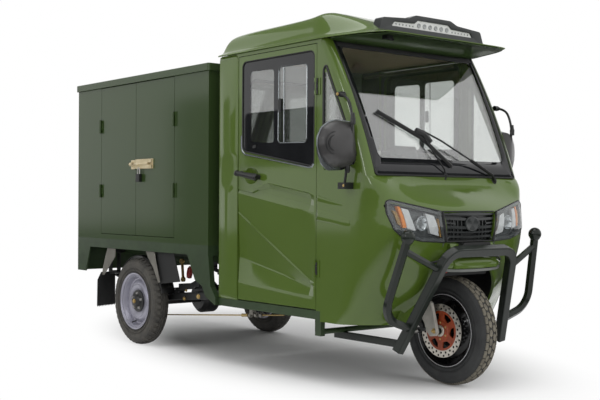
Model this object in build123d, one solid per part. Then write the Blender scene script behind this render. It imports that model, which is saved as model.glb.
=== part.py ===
from build123d import *
import os
from math import cos, hypot, radians, sin, sqrt

# Electric cargo tricycle with an enclosed cab and a van body.
# Stations run along +X (forward) from the rear axle, +Y is the driver's left, +Z is up
# from the ground. All lengths are in millimetres. Parts are written with the origin on
# the ground, midway along the overall length.

# ---------------------------------------------------------------- stations
cab_rear = 866.0
box_gap = 71.0
quarter_width = 171.0
door_width = 623.0
post_width = 30.0
nose_length = 460.0
axle_setback = 119.0
box_front = cab_rear - box_gap
door_rear = cab_rear + quarter_width
door_front = door_rear + door_width
post_front = door_front + post_width
nose_front = post_front + nose_length
wheelbase = nose_front - axle_setback

# ---------------------------------------------------------------- running gear
rear_track = 940.0
tyre_radius = 255.0
tyre_width = 97.0
tyre_shoulder = 26.0
tyre_crown = 5.0
tyre_crown_edge = 13.0
tyre_crown_flat = 15.0
tyre_facets = 64
rim_bead_radius = 152.4
rim_lip_radius = 166.5
rim_lip_thickness = 5.0
rim_well_depth = 18.0
rim_wall = 4.0
rim_overlap = 2.0
fit_gap = 0.2
shaft_clearance = 0.05

front_axle_radius = 8.5
front_hub_radius = 34.0
front_hub_half = 38.0
rotor_radius = 123.5
rotor_carrier_radius = 93.0
rotor_thickness = 4.0
rotor_offset = 56.0

rake_deg = 20.0
axle_lead = 40.0
steer_limit_deg = 38.0
fork_half_spacing = 92.0
fork_lower_radius = 23.0
fork_upper_radius = 17.0
fork_lower_length = 230.0
fork_foot = 28.0
axle_overhang = 30.0
crown_height = 296.0
crown_thickness = 24.0
crown_margin = 44.0
stem_radius = 14.0
head_tube_radius = 27.0
head_tube_low = 425.0
head_tube_length = 130.0
column_length = 330.0
column_radius = 16.0
column_gap = 12.0
handlebar_half = 320.0
handlebar_radius = 11.0
grip_radius = 16.0
grip_length = 125.0
pod_size = (70.0, 150.0, 46.0)

axle_tube_radius = 32.0
axle_stub_radius = 15.0
rear_hub_radius = 66.0
rear_hub_half = 30.0
casing_radius = 98.0
casing_half = 62.0
casing_setback = 14.0
casing_chamfer = 22.0
motor_radius = 66.0
motor_length = 170.0
hub_gap = 6.0
stub_overhang = 8.0
spring_offset = 372.0
spring_width = 50.0
spring_leaf = 8.0
spring_half_length = 500.0
spring_camber = 62.0
leaf_count = 4
spring_seat = 10.0
spring_pad_half = 55.0
spring_pad_margin = 7.0
spring_eye_radius = 17.0

# ---------------------------------------------------------------- van body
box_length = 1490.0
box_half = 530.0
bed_bottom = 556.0
bed_top = 612.0
bed_beam = 50.0
box_wall = 25.0
lid_top = 1577.0
lid_height = 39.0
lid_overhang = 12.0
lid_corner = 14.0
box_floor_thickness = 20.0
leaf_gap = 3.0
rear_stile = 307.0
front_stile = 337.0
side_door_bottom = 641.0
leaf_limit_deg = 165.0
apron_bottom = 402.0
apron_thickness = 8.0
apron_cheek_low = 108.0
apron_cheek_high = 166.0

hinge_radius = 7.0
hinge_pin_radius = 4.0
hinge_plate = 3.0
hinge_plate_reach = 26.0
box_hinge_length = 80.0
box_hinge_heights = (905.0, 1300.0)
bolt_height = 1069.0
bolt_bar_radius = 6.5
bolt_plate = (190.0, 36.0, 4.0)

# ---------------------------------------------------------------- chassis
sill_bottom = 303.0
sill_top = 343.0
rail_width = 40.0
rail_offset = 290.0
cross_half = 20.0
rail_depth = 50.0
rail_start = 15.0
kick_length = 270.0
kick_foot_gap = 36.0
kick_lag = 30.0
bed_cross_spacing = 298.0
side_step = 2.0
gusset_lap = 12.0
gusset_reach = 206.0
gusset_foot = 30.0
gusset_low = 57.0
hanger_half = 24.0
hanger_plate = 6.0
hanger_gap = 1.0
bracket_bottom = 227.0
bracket_length = 42.0
bracket_inset = 5.0
gusset_gap = 4.0
neck_half = 70.0
neck_post = 32.0
neck_arm_radius = 13.0

# ---------------------------------------------------------------- cab
cab_half = 510.0
side_thickness = 30.0
door_gap = 3.0
door_top = 1583.0
roof_base = 1600.0
cab_door_limit_deg = 70.0
cab_hinge_length = 77.0
cab_hinge_heights = (538.0, 1381.0)
rear_wall_thickness = 24.0
rear_window_half = 330.0
rear_window_low = 1050.0
rear_window_high = 1500.0
glass_thickness = 5.0
glass_gap = 1.0
floor_thickness = 15.0
floor_gap = 52.0

window_rear_inset = 34.0
window_front_inset = 20.0
window_top_inset = 32.0
window_low_rear = 1103.0
window_low_front = 1010.0
window_corner = 30.0

nose_bottom = 295.0
shell_wall = 12.0
pillar_depth = 35.0
screen_foot_setback = 134.0
screen_foot_z = 963.0
screen_head_lead = 32.0
screen_bow = 20.0
screen_setback = 4.0
screen_side = 48.0
screen_low = 986.0
screen_high = 1571.0
pillar_round = 45.0
cowl_depth = 60.0
cowl_height = 10.0
# Quarter light corners: distance ahead of the door post, height above the windshield's foot.
quarter_points = ((18.0, 29.0), (18.0, 469.0), (36.0, 487.0), (242.0, 73.0), (226.0, 51.0))
quarter_corner = 12.0

# Nose outline by height: z, how far the front sits behind nose_front at the centre, the
# brow as (setback, inset from the cab side), and the setback where the flat side ends.
nose_rows = (
    (nose_bottom, 90.0, (167.0, 197.0), 360.0),
    (420.0, 30.0, (90.0, 220.0), 310.0),
    (550.0, 5.0, (42.0, 210.0), 280.0),
    (670.0, 0.0, (30.0, 170.0), 260.0),
    (802.0, 0.0, (50.0, 120.0), 240.0),
    (870.0, 58.0, (84.0, 80.0), 220.0),
    (screen_foot_z, 134.0, (135.0, 45.0), 179.0),
)
corner_fullness = 0.7
wheel_opening_top = 552.0
wheel_opening_half_top = 150.0
wheel_opening_half_low = 322.0
chin_half = 145.0
chin_reach = 37.0
chin_top = 662.0
chin_brow = 566.0

grille_top = 800.0
grille_bottom = 671.0
grille_half_top = 172.0
grille_half_bottom = 150.0
grille_depth = 26.0
grille_bar = 9.0
grille_bars = 4
grille_rim = 8.0
grille_setback = 4.0
grille_dividers = (-96.0, -48.0, 48.0, 96.0)
grille_divider = 6.0
emblem_radius = 36.0
lamp_outline = ((180.0, 797.0), (452.0, 847.0), (463.0, 832.0), (428.0, 742.0), (396.0, 704.0),
                (344.0, 690.0), (158.0, 667.0))
lamp_depth = 150.0
lamp_gap = 1.5
front_cut_depth = 250.0

arch_half = 262.0
arch_gap = 45.0
arch_top = 604.0
arch_wall = 6.0
arch_setback = 65.0
arch_stem_hole = 46.0

dash_lead = 110.0
dash_setback = 41.0
dash_top = 972.0
dash_bottom = 850.0
dash_side = 55.0
dash_chamfer = 20.0

# Seat box: start and end behind the cab's rear wall line, half width, top.
seat_box = (74.0, 464.0, 380.0, 600.0)
seat_box_wall = 15.0
cushion_height = 90.0
cushion_overhang = 60.0
bench_setback = 50.0
cushion_corner = 25.0
back_thickness = 80.0
back_low = 700.0
back_high = 1160.0
battery = (119.0, 419.0, 300.0, 200.0)

# ---------------------------------------------------------------- roof and visor
roof_tail_gap = 9.0
flange_thickness = 9.0
roof_wall = 10.0
headliner_thickness = 8.0
headliner_gap = 4.0
scoop_start = 70.0
scoop_depth = 40.0
scoop_half = 360.0
flange_width = 24.0
visor_setback = 128.0
# Roof cross-sections: station, flange reach past the cab side, shoulder inset from the cab
# side, shoulder height, centre height.
roof_rows = (
    (cab_rear - roof_tail_gap, 6.0, 40.0, 18.0, 18.0),
    (cab_rear + 24.0, 10.0, 48.0, 46.0, 48.0),
    (cab_rear + 79.0, 10.0, 64.0, 118.0, 124.0),
    (cab_rear + 384.0, 10.0, 64.0, 122.0, 130.0),
    (post_front - 150.0, 10.0, 64.0, 124.0, 132.0),
    (post_front - 50.0, 10.0, 80.0, 145.0, 130.0),
    (post_front + 50.0, 12.0, 90.0, 118.0, 112.0),
    (post_front + 160.0, 16.0, 90.0, 66.0, 76.0),
    (post_front + 260.0, -10.0, 80.0, 26.0, 36.0),
    (nose_front - visor_setback, -90.0, 130.0, 10.0, 14.0),
)
crown_shelf = 60.0

light_bar_setback = 225.0
light_bar_depth = 70.0
# Light bar corners: half width, height above the roof's base.
light_bar_steps = ((366.0, 18.0), (314.0, 97.0), (158.0, 103.0), (112.0, 124.0))

# ---------------------------------------------------------------- bull bar and mirrors
hoop_section = 42.0
hoop_top_z = 630.0
hoop_reach = 66.0
hoop_top_half = 214.0
hoop_foot = (nose_front - 118.0, 346.0, 182.0)
hoop_bend = 85.0
hoop_round = 6.0
horn_tube_radius = 16.0
horn_top = (nose_front + 26.0, 430.0, 690.0)
horn_bend_point = (nose_front - 64.0, 487.0, 345.0)
horn_foot_z = 288.0
horn_bend = 95.0
ball_radius = 27.0
strut_radius = 11.0
strut_out_z = 640.0
strut_in_z = 548.0
tie_bar = 30.0
tie_reach = 84.0
tie_z = 217.0
tie_mount_radius = 13.0

mirror_centre = (nose_front - 235.0, cab_half + 94.0, 1104.0)
mirror_width = 174.0
mirror_height = 212.0
mirror_thickness = 56.0
mirror_rod_radius = 6.0
mirror_rod_offset = 31.0
# Mirror rod points: distance behind the nose, height.
mirror_rod_points = ((299.0, 1329.0), (250.0, 1318.0), (208.0, 1200.0), (247.0, 985.0),
                     (260.0, 925.0))
mirror_foot = (52.0, 26.0)
mirror_round = 22.0

handle_offset = 35.0
# Handle ends: distance ahead of the door's rear edge, height.
handle_rear = (9.0, 1001.0)
handle_front = (195.0, 964.0)
handle_section = 20.0

# ---------------------------------------------------------------- guards and lamps
guard_radius = 284.0
guard_thickness = 3.0
guard_clearance = 11.5
guard_angles = (18.0, 162.0)
flap_station = -450.0
flap_top = 378.0
flap_bottom = 180.0
flap_thickness = 5.0
splash_station = 300.0
splash_bottom = 380.0
stay_width = 30.0
stay_lap = 40.0
brace_thickness = 4.0
lamp_width = 120.0
lamp_height = 62.0
lamp_thickness = 11.0
lamp_z = 480.0
lamp_y = 440.0

# ---------------------------------------------------------------- derived places
box_rear = box_front - box_length
side_door_rear = box_rear + rear_stile
side_door_front = box_front - front_stile
cross_stations = (cab_rear + cross_half, (cab_rear + post_front) / 2, post_front - cross_half)
arch_rear = post_front + arch_gap
arch_front = nose_front - arch_setback
screen_foot_x = nose_front - screen_foot_setback
screen_head_x = post_front + screen_head_lead
screen_half = cab_half - screen_side
guard_inner = (rear_track - tyre_width) / 2 - guard_clearance
guard_outer = box_half - side_step
lid_rear = box_rear - lid_overhang
nose_end = wheelbase + tyre_radius
mid_station = (lid_rear + nose_end) / 2
rake = radians(rake_deg)
steer_up = Vector(-sin(rake), 0, cos(rake))
steer_forward = Vector(cos(rake), 0, sin(rake))
axle_front = Vector(wheelbase, 0, tyre_radius)
steer_point = axle_front - steer_forward * axle_lead


def block(x0, x1, y0, y1, z0, z1):
    """Box between two corners."""
    return Pos((x0 + x1) / 2, (y0 + y1) / 2, (z0 + z1) / 2) * Box(x1 - x0, y1 - y0, z1 - z0)


def rod(start, end, radius):
    """Round bar between two points."""
    run = Vector(*end) - Vector(*start)
    return Plane(Vector(*start), z_dir=run) * Cylinder(
        radius, run.length, align=(Align.CENTER, Align.CENTER, Align.MIN))


def side_plate(points, y0, y1):
    """Outline in X and Z, extruded between two Y planes."""
    face = make_face(Polyline(*[(x, y0, z) for x, z in points], close=True))
    return extrude(face, amount=y1 - y0, dir=(0, 1, 0))


def front_plate(points, x0, x1):
    """Outline in Y and Z, extruded between two stations."""
    face = make_face(Polyline(*[(x0, y, z) for y, z in points], close=True))
    return extrude(face, amount=x1 - x0, dir=(1, 0, 0))


def both_sides(shape):
    """The shape and its mirror image across the middle of the vehicle."""
    return shape + mirror(shape, Plane.XZ)


def moved_in(points, gap):
    """Outline drawn in by a gap towards its own middle."""
    middle = [sum(p[i] for p in points) / len(points) for i in (0, 1)]
    inside = []
    for p in points:
        reach = hypot(p[0] - middle[0], p[1] - middle[1])
        share = (reach - gap) / reach
        inside.append(tuple(middle[i] + (p[i] - middle[i]) * share for i in (0, 1)))
    return tuple(inside)


# ---------------------------------------------------------------- wheels
def tyre_slice(y, radius, to_corners=True):
    """Many-sided slice of a tyre, its radius measured to the corners or to the flats."""
    plane = Plane((0, y, 0), x_dir=(1, 0, 0), z_dir=(0, 1, 0))
    return plane * RegularPolygon(radius, tyre_facets, major_radius=to_corners)


def tyre(centre):
    """Closed tyre ring round a wheel whose axle runs along Y, cut to sit between the rim's lips."""
    half = tyre_width / 2
    right = [(half, tyre_radius - tyre_shoulder),
             (half - tyre_crown_edge, tyre_radius - tyre_crown), (tyre_crown_flat, tyre_radius)]
    outline = [(-y, radius) for y, radius in right] + right[::-1]
    body = loft([tyre_slice(y, radius) for y, radius in outline], ruled=True)
    body -= extrude(tyre_slice(-half, rim_bead_radius + fit_gap, False), amount=tyre_width)
    bead = half - rim_overlap - rim_lip_thickness - fit_gap
    lip = extrude(tyre_slice(bead, rim_lip_radius + fit_gap, False), amount=half - bead)
    body -= both_sides(lip)
    return Location(centre) * body


def rim(centre, web_offset, hub_radius, hub_half, bore):
    """Pressed wheel: barrel with lips, drop centre, web and hub. Outward is +Y."""
    half = tyre_width / 2 - rim_overlap
    lip = rim_lip_thickness
    barrel = Pos(0, 0, 0) * revolve(make_face(Polyline(
        (rim_bead_radius - rim_wall, -half), (rim_lip_radius, -half),
        (rim_lip_radius, -half + lip), (rim_bead_radius, -half + lip),
        (rim_bead_radius, -20), (rim_bead_radius - rim_well_depth, -12),
        (rim_bead_radius - rim_well_depth, 12), (rim_bead_radius, 20),
        (rim_bead_radius, half - lip), (rim_lip_radius, half - lip),
        (rim_lip_radius, half), (rim_bead_radius - rim_wall, half),
        (rim_bead_radius - rim_wall, 24), (rim_bead_radius - rim_well_depth - rim_wall, 14),
        (rim_bead_radius - rim_well_depth - rim_wall, -14),
        (rim_bead_radius - rim_wall, -24), close=True)), Axis.Y)
    web = revolve(make_face(Polyline(
        (bore, web_offset - 3), (hub_radius + 12, web_offset - 3),
        (hub_radius + 34, web_offset - 15), (rim_bead_radius - rim_well_depth - 2, -6),
        (rim_bead_radius - rim_well_depth - 2, 2), (hub_radius + 36, web_offset - 7),
        (hub_radius + 14, web_offset + 5), (bore, web_offset + 5), close=True)), Axis.Y)
    hub = revolve(make_face(Polyline(
        (bore, -hub_half), (hub_radius, -hub_half), (hub_radius, hub_half),
        (bore, hub_half), close=True)), Axis.Y)
    return Location(centre) * (barrel + web + hub)


def brake_disc():
    """Rotor and its spider, on the right of the front hub."""
    low = -rotor_offset - rotor_thickness / 2
    ring = revolve(make_face(Polyline(
        (rotor_carrier_radius - 6, low), (rotor_radius, low),
        (rotor_radius, low + rotor_thickness), (rotor_carrier_radius - 6, low + rotor_thickness),
        close=True)), Axis.Y)
    plate = revolve(make_face(Polyline(
        (front_axle_radius + shaft_clearance, low), (rotor_carrier_radius, low),
        (rotor_carrier_radius, low + rotor_thickness), (front_hub_radius, low + rotor_thickness),
        (front_hub_radius - 4, -front_hub_half),
        (front_axle_radius + shaft_clearance, -front_hub_half), close=True)), Axis.Y)
    window = Cylinder(13, 3 * rotor_thickness, rotation=(90, 0, 0))
    windows = [Rot(0, 60 * i, 0) * Pos(66, -rotor_offset, 0) * window for i in range(6)]
    return Location(axle_front) * (ring + plate - windows)


# ---------------------------------------------------------------- steering
def along_steer(distance, forward=0.0, y=0.0):
    """Point a distance up the steering axis, with offsets forward and sideways."""
    return steer_point + steer_up * distance + steer_forward * forward + Vector(0, y, 0)


def fork():
    """Telescopic fork with crown, stem and axle."""
    parts = []
    for side in (-1, 1):
        y = side * fork_half_spacing
        joint = along_steer(fork_lower_length, axle_lead, y)
        parts.append(rod(along_steer(-fork_foot, axle_lead, y), joint, fork_lower_radius))
        parts.append(rod(joint, along_steer(crown_height + crown_thickness, axle_lead, y),
                         fork_upper_radius))
    crown = Plane(along_steer(crown_height, axle_lead / 2), x_dir=steer_forward, z_dir=steer_up)
    parts.append(crown * Box(axle_lead + crown_margin, 2 * fork_half_spacing + crown_margin,
                             crown_thickness, align=(Align.CENTER, Align.CENTER, Align.MIN)))
    parts.append(rod(along_steer(crown_height + crown_thickness / 2),
                     along_steer(head_tube_low + head_tube_length + column_gap), stem_radius))
    reach = fork_half_spacing + axle_overhang
    parts.append(rod((wheelbase, -reach, tyre_radius), (wheelbase, reach, tyre_radius),
                     front_axle_radius))
    return parts[0] + parts[1:]


def handlebar():
    """Column, crossbar, grips and instrument pod above the head tube."""
    foot = head_tube_low + head_tube_length + column_gap
    top = foot + column_length
    column = rod(along_steer(foot), along_steer(top), column_radius)
    bar = rod(along_steer(top, 0, -handlebar_half), along_steer(top, 0, handlebar_half),
              handlebar_radius)
    grips = [rod(along_steer(top, 0, s * (handlebar_half - grip_length)),
                 along_steer(top, 0, s * handlebar_half), grip_radius) for s in (-1, 1)]
    pod = Plane(along_steer(top, handlebar_radius), x_dir=steer_forward, z_dir=steer_up)
    return column + bar + grips + pod * Box(*pod_size)


# ---------------------------------------------------------------- rear axle and springs
def rear_axle():
    """Axle tube, drive casing, motor and the stubs that carry the wheels."""
    hub_face = rear_track / 2 - rear_hub_half - hub_gap
    tube = rod((0, -hub_face, tyre_radius), (0, hub_face, tyre_radius), axle_tube_radius)
    stub_end = rear_track / 2 + rear_hub_half + stub_overhang
    stub = rod((0, -stub_end, tyre_radius), (0, stub_end, tyre_radius), axle_stub_radius)
    casing = rod((-casing_setback, -casing_half, tyre_radius),
                 (-casing_setback, casing_half, tyre_radius), casing_radius)
    casing = chamfer(casing.edges().filter_by(GeomType.CIRCLE), casing_chamfer)
    motor = rod((-casing_setback, casing_half, tyre_radius),
                (-casing_setback, casing_half + motor_length, tyre_radius), motor_radius)
    return tube + stub + casing + motor


def spring_line(x):
    """Height of the main leaf's underside above the axle centre."""
    return axle_tube_radius + spring_seat + (leaf_count - 1) * spring_leaf + spring_camber * (
        x / spring_half_length) ** 2


def leaf_springs():
    """Two packs of leaves with eyes, seat pads and straps over the axle tube."""
    inner, outer = spring_offset - spring_width / 2, spring_offset + spring_width / 2
    parts = []
    for i in range(leaf_count):
        reach = spring_half_length * (1 - 0.2 * i)
        low = tyre_radius - i * spring_leaf
        points = [(reach * share, low + spring_line(reach * share))
                  for share in (-1, -0.6, -0.25, 0.25, 0.6, 1)]
        upper = [(x, z + spring_leaf) for x, z in reversed(points)]
        parts.append(side_plate(points + upper, inner, outer))
    for x in (-spring_half_length, spring_half_length):
        parts.append(rod((x, inner, spring_eye_z()), (x, outer, spring_eye_z()), spring_eye_radius))
    seat = tyre_radius + axle_tube_radius + spring_seat
    pad = block(-spring_pad_half, spring_pad_half, inner - spring_pad_margin,
                outer + spring_pad_margin, seat - 2 * spring_seat, seat + spring_leaf)
    parts.append(pad - rod((0, inner - spring_pad_half, tyre_radius),
                           (0, outer + spring_pad_half, tyre_radius),
                           axle_tube_radius + fit_gap))
    top = seat + leaf_count * spring_leaf
    parts.append(block(-spring_pad_half, spring_pad_half, inner - spring_pad_margin,
                       outer + spring_pad_margin, top, top + spring_seat))
    return both_sides(parts[0] + parts[1:])


def spring_eye_z():
    """Height of the spring eyes."""
    return tyre_radius + spring_line(spring_half_length) + spring_leaf / 2


# ---------------------------------------------------------------- chassis
def head_tube():
    """Bored tube that holds the fork's stem."""
    outer = rod(along_steer(head_tube_low), along_steer(head_tube_low + head_tube_length),
                head_tube_radius)
    bore = rod(along_steer(head_tube_low - 1), along_steer(head_tube_low + head_tube_length + 1),
               stem_radius + shaft_clearance)
    return outer, bore


def chassis_frame():
    """Kicked-up main rails, cab sills, cross members, mirror-handed brackets and tie rod."""
    foot = cab_rear - kick_foot_gap
    low = bed_bottom - rail_depth
    outline = [(box_rear + rail_start, bed_bottom), (box_rear + rail_start, low),
               (foot - kick_length, low), (foot - kick_lag, sill_bottom),
               (post_front, sill_bottom), (post_front, sill_top), (foot, sill_top),
               (foot - kick_length + rail_depth - cross_half / 2, bed_bottom)]
    frame = both_sides(side_plate(outline, rail_offset - rail_width / 2,
                                  rail_offset + rail_width / 2))
    frame += both_sides(block(cab_rear, post_front, cab_half - rail_width, cab_half,
                              sill_bottom, sill_top))
    for x in cross_stations:
        frame += block(x - cross_half, x + cross_half, -cab_half, cab_half, sill_bottom, sill_top)
    bracket_x = post_front - bracket_length
    frame += both_sides(block(bracket_x, post_front, cab_half - side_thickness,
                              cab_half - bracket_inset, bracket_bottom, sill_bottom))
    rod_x = post_front - bracket_length / 2
    rod_y = cab_half - side_thickness
    rod_z = tie_z + tie_bar / 2 + tie_mount_radius
    return frame + rod((rod_x, -rod_y, rod_z), (rod_x, rod_y, rod_z), tie_mount_radius)


def spring_hangers():
    """Cross tubes under the bed with the plates that hold the spring eyes."""
    parts = []
    top = bed_bottom - cross_half * 2
    for x in (-spring_half_length, spring_half_length):
        for y in (spring_offset - spring_width / 2 - hanger_plate - hanger_gap,
                  spring_offset + spring_width / 2 + hanger_gap):
            parts.append(block(x - cross_half, x + cross_half, y, y + hanger_plate,
                               spring_eye_z() - cross_half, top))
        parts.append(block(x - hanger_half, x + hanger_half,
                           rail_offset + rail_width / 2, spring_offset + spring_width / 2
                           + hanger_plate + hanger_gap, top, bed_bottom))
    return both_sides(parts[0] + parts[1:])


def bed_gussets():
    """Side plates that join the cab's sills to the van body's bed."""
    y0, y1 = sorted((cab_half - gusset_lap, box_half - side_step))
    outline = [(box_front - gusset_reach, bed_bottom), (box_front, bed_bottom),
               (box_front + cross_half, sill_top + gusset_low),
               (cab_rear - gusset_gap, sill_top), (cab_rear - gusset_gap, sill_bottom),
               (cab_rear - gusset_lap, sill_bottom), (box_front - kick_lag, sill_top + hanger_gap),
               (box_front - 2 * gusset_foot, sill_top + gusset_low - hanger_plate),
               (box_front - gusset_foot - 2 * rail_depth, sill_top + gusset_low + hanger_half)]
    return both_sides(side_plate(outline, y0, y1))


def steering_neck():
    """Posts and arms from the front cross tube to the bored head tube."""
    outer, bore = head_tube()
    neck = along_steer(head_tube_low + head_tube_length / 2)
    half_post = neck_post / 2
    post_x = post_front + half_post
    parts = [block(post_x - half_post, post_x + half_post, rail_width / 2 - rail_offset,
                   rail_offset - rail_width / 2, sill_bottom, sill_top)]
    for y in (-neck_half, neck_half):
        parts.append(block(post_x - half_post, post_x + half_post, y - half_post, y + half_post,
                           sill_bottom, neck.Z + half_post))
        parts.append(rod((post_x, y, neck.Z), (neck.X, y / 4, neck.Z), neck_arm_radius))
    parts.append(block(post_x - half_post, post_x + half_post, -neck_half, neck_half,
                       neck.Z - half_post, neck.Z + half_post))
    return outer + parts - bore


def bed_frame():
    """Sill round the van body with cross beams, the rear apron and its cheeks."""
    ring = block(box_rear, box_front, -box_half, box_half, bed_bottom, bed_top)
    ring -= block(box_rear + bed_beam, box_front - bed_beam, bed_beam - box_half,
                  box_half - bed_beam, bed_bottom - 1, bed_top + 1)
    count = int(box_length // bed_cross_spacing)
    for i in range(1, count):
        x = box_rear + box_length * i / count
        ring += block(x - 20, x + 20, -box_half + 10, box_half - 10, bed_bottom, bed_top)
    ring += block(box_rear, box_rear + apron_thickness, -box_half, box_half, apron_bottom, bed_top)
    cheek = [(box_rear, apron_bottom), (box_rear + apron_cheek_low, apron_bottom),
             (box_rear + apron_cheek_high, bed_bottom), (box_rear, bed_bottom)]
    return ring + both_sides(side_plate(cheek, box_half - apron_thickness, box_half))


# ---------------------------------------------------------------- hinges
def hinge(x, face, z, length, leaf_side, out):
    """Butt hinge on a vertical pin outside a panel face.

    leaf_side is +1 where the leaf lies forward of the pin; out is the side's sign.
    Returns the fixed knuckles with their pin, and the leaf's knuckle."""
    axis_y = face + hinge_radius + hinge_plate - 1
    low, high = z - length / 2, z + length / 2
    third = length / 4

    def upright(z0, z1, radius):
        return rod((x, out * axis_y, z0), (x, out * axis_y, z1), radius)

    def plate(x0, x1, z0, z1):
        ys = sorted((out * face, out * (face + hinge_plate)))
        return block(min(x0, x1), max(x0, x1), ys[0], ys[1], z0, z1)

    fixed = upright(low, low + third, hinge_radius) + upright(high - third, high, hinge_radius)
    fixed += upright(low, high, hinge_pin_radius)
    reach = x - leaf_side * hinge_plate_reach
    fixed += plate(reach, x, low, low + third) + plate(reach, x, high - third, high)
    fixed += plate(reach, x - leaf_side * (hinge_radius + 2), low, high)
    turning = upright(low + third + 0.5, high - third - 0.5, hinge_radius)
    turning += plate(x, x + leaf_side * hinge_plate_reach, low + third + 0.5, high - third - 0.5)
    turning -= upright(low - 1, high + 1, hinge_pin_radius + shaft_clearance)
    return fixed, turning


# ---------------------------------------------------------------- van body
def lid():
    """Flat lid with a turned-down flange outside the walls."""
    low = lid_top - lid_height
    outer = block(lid_rear, box_front + lid_overhang, -box_half - lid_overhang,
                  box_half + lid_overhang, low, lid_top)
    outer = fillet(outer.edges().filter_by(Axis.Z), lid_corner)
    outer = fillet(outer.faces().sort_by(Axis.Z)[-1].edges(), 4)
    inside = block(box_rear, box_front, -box_half, box_half, low - 1, lid_top - lid_overhang)
    return outer - inside


def box_ends():
    """Front and rear walls between the sides."""
    top = lid_top - lid_overhang
    inner = box_half - box_wall
    front = block(box_front - box_wall, box_front, -inner, inner, bed_top, top)
    rear = block(box_rear, box_rear + box_wall, -inner, inner, bed_top, top)
    return front + rear


def box_floor():
    """Deck between the four walls."""
    inner = box_half - box_wall
    return block(box_rear + box_wall, box_front - box_wall, -inner, inner, bed_top,
                 bed_top + box_floor_thickness)


def box_door_parts(side):
    """Side frame of the van body and its two leaves, for one side."""
    top = lid_top - lid_height
    ys = sorted((side * (box_half - box_wall), side * box_half))
    frame = block(box_rear, box_front, ys[0], ys[1], bed_top, lid_top - lid_overhang)
    frame -= block(side_door_rear, side_door_front, ys[0] - 1, ys[1] + 1, side_door_bottom,
                   top - 1)
    middle = (side_door_rear + side_door_front) / 2
    spans = ((side_door_rear + leaf_gap, middle - leaf_gap / 2, side_door_rear, 1),
             (middle + leaf_gap / 2, side_door_front - leaf_gap, side_door_front, -1))
    leaves = []
    for x0, x1, pin, leaf_side in spans:
        leaf = block(x0, x1, ys[0], ys[1], side_door_bottom + leaf_gap, top - 1 - leaf_gap)
        for z in box_hinge_heights:
            fixed, turning = hinge(pin + leaf_side * leaf_gap / 2, box_half, z, box_hinge_length,
                                   leaf_side, side)
            frame += fixed
            leaf += turning
        leaves.append(leaf)
    return frame, leaves[0], leaves[1]


def slide_bolt(side):
    """Bolt with its backplate, guides and knob, carried by the front leaf."""
    middle = (side_door_rear + side_door_front) / 2
    length, height, thick = bolt_plate
    start = middle + leaf_gap + 4

    def piece(x0, x1, y0, y1, z0, z1):
        ys = sorted((side * y0, side * y1))
        return block(x0, x1, ys[0], ys[1], z0, z1)

    face = box_half
    plate = piece(start, start + length, face, face + thick, bolt_height - height / 2,
                  bolt_height + height / 2)
    axis_y = face + thick + bolt_bar_radius + 3
    bar = rod((start - 2, side * axis_y, bolt_height), (start + length - 12, side * axis_y, bolt_height),
              bolt_bar_radius)
    guides = [piece(start + share * length, start + share * length + 16, face + thick,
                    axis_y + bolt_bar_radius + 2, bolt_height - 13, bolt_height + 13)
              for share in (0.05, 0.45, 0.8)]
    knob = rod((start + length * 0.66, side * axis_y, bolt_height),
               (start + length * 0.66, side * (axis_y + 30), bolt_height), 5)
    return plate + guides + bar + knob


# ---------------------------------------------------------------- cab sides and doors
def window_outline(inset=0.0):
    """Door window in X and Z, with its lower edge falling towards the front."""
    return ((door_rear + window_rear_inset + inset, window_low_rear + inset),
            (door_rear + window_rear_inset + inset, door_top - window_top_inset - inset),
            (door_front - window_front_inset - inset, door_top - window_top_inset - inset),
            (door_front - window_front_inset - inset, window_low_front + inset))


def rounded_side_plate(points, y0, y1, radius):
    """Outline in X and Z with rounded corners, extruded between two Y planes."""
    path = FilletPolyline(*[(x, y0, z) for x, z in points], radius=radius, close=True)
    return extrude(make_face(path), amount=y1 - y0, dir=(0, 1, 0))


def cab_side(side):
    """Rear quarter, header and door post of one side."""
    ys = sorted((side * (cab_half - side_thickness), side * cab_half))
    frame = block(cab_rear, post_front, ys[0], ys[1], sill_top, roof_base)
    rear_edge = frame.edges().filter_by(Axis.Z).group_by(Axis.X)[0].sort_by(Axis.Y)
    frame = fillet(rear_edge[0 if side < 0 else -1], side_thickness * 0.8)
    frame -= block(door_rear, door_front, ys[0] - 1, ys[1] + 1, sill_top - 1, door_top)
    for z in cab_hinge_heights:
        frame += hinge(door_front, cab_half, z, cab_hinge_length, -1, side)[0]
    return frame


def cab_door(side):
    """Door panel with its window cut and its hinge knuckles."""
    ys = sorted((side * (cab_half - side_thickness), side * cab_half))
    panel = block(door_rear + door_gap, door_front - door_gap, ys[0], ys[1],
                  sill_top + 5, door_top - door_gap)
    panel -= rounded_side_plate(window_outline(), ys[0] - 1, ys[1] + 1, window_corner)
    for z in cab_hinge_heights:
        panel += hinge(door_front, cab_half, z, cab_hinge_length, -1, side)[1]
    return panel


def cab_door_glass(side):
    """Fixed pane that fills the door's window."""
    middle = side * (cab_half - side_thickness / 2)
    return rounded_side_plate(window_outline(glass_gap), middle - glass_thickness / 2,
                              middle + glass_thickness / 2, window_corner - glass_gap)


def door_handle(side):
    """Pull handle on two feet."""
    handle_y = side * (cab_half + handle_offset)
    rear = Vector(door_rear + handle_rear[0], handle_y, handle_rear[1])
    front = Vector(door_rear + handle_front[0], handle_y, handle_front[1])
    grip = rod(rear, front, handle_section / 2)
    feet = []
    for share in (0.12, 0.88):
        top = rear + (front - rear) * share
        feet.append(rod((top.X, side * cab_half, top.Z), top, handle_section * 0.45))
    return grip + feet


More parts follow.
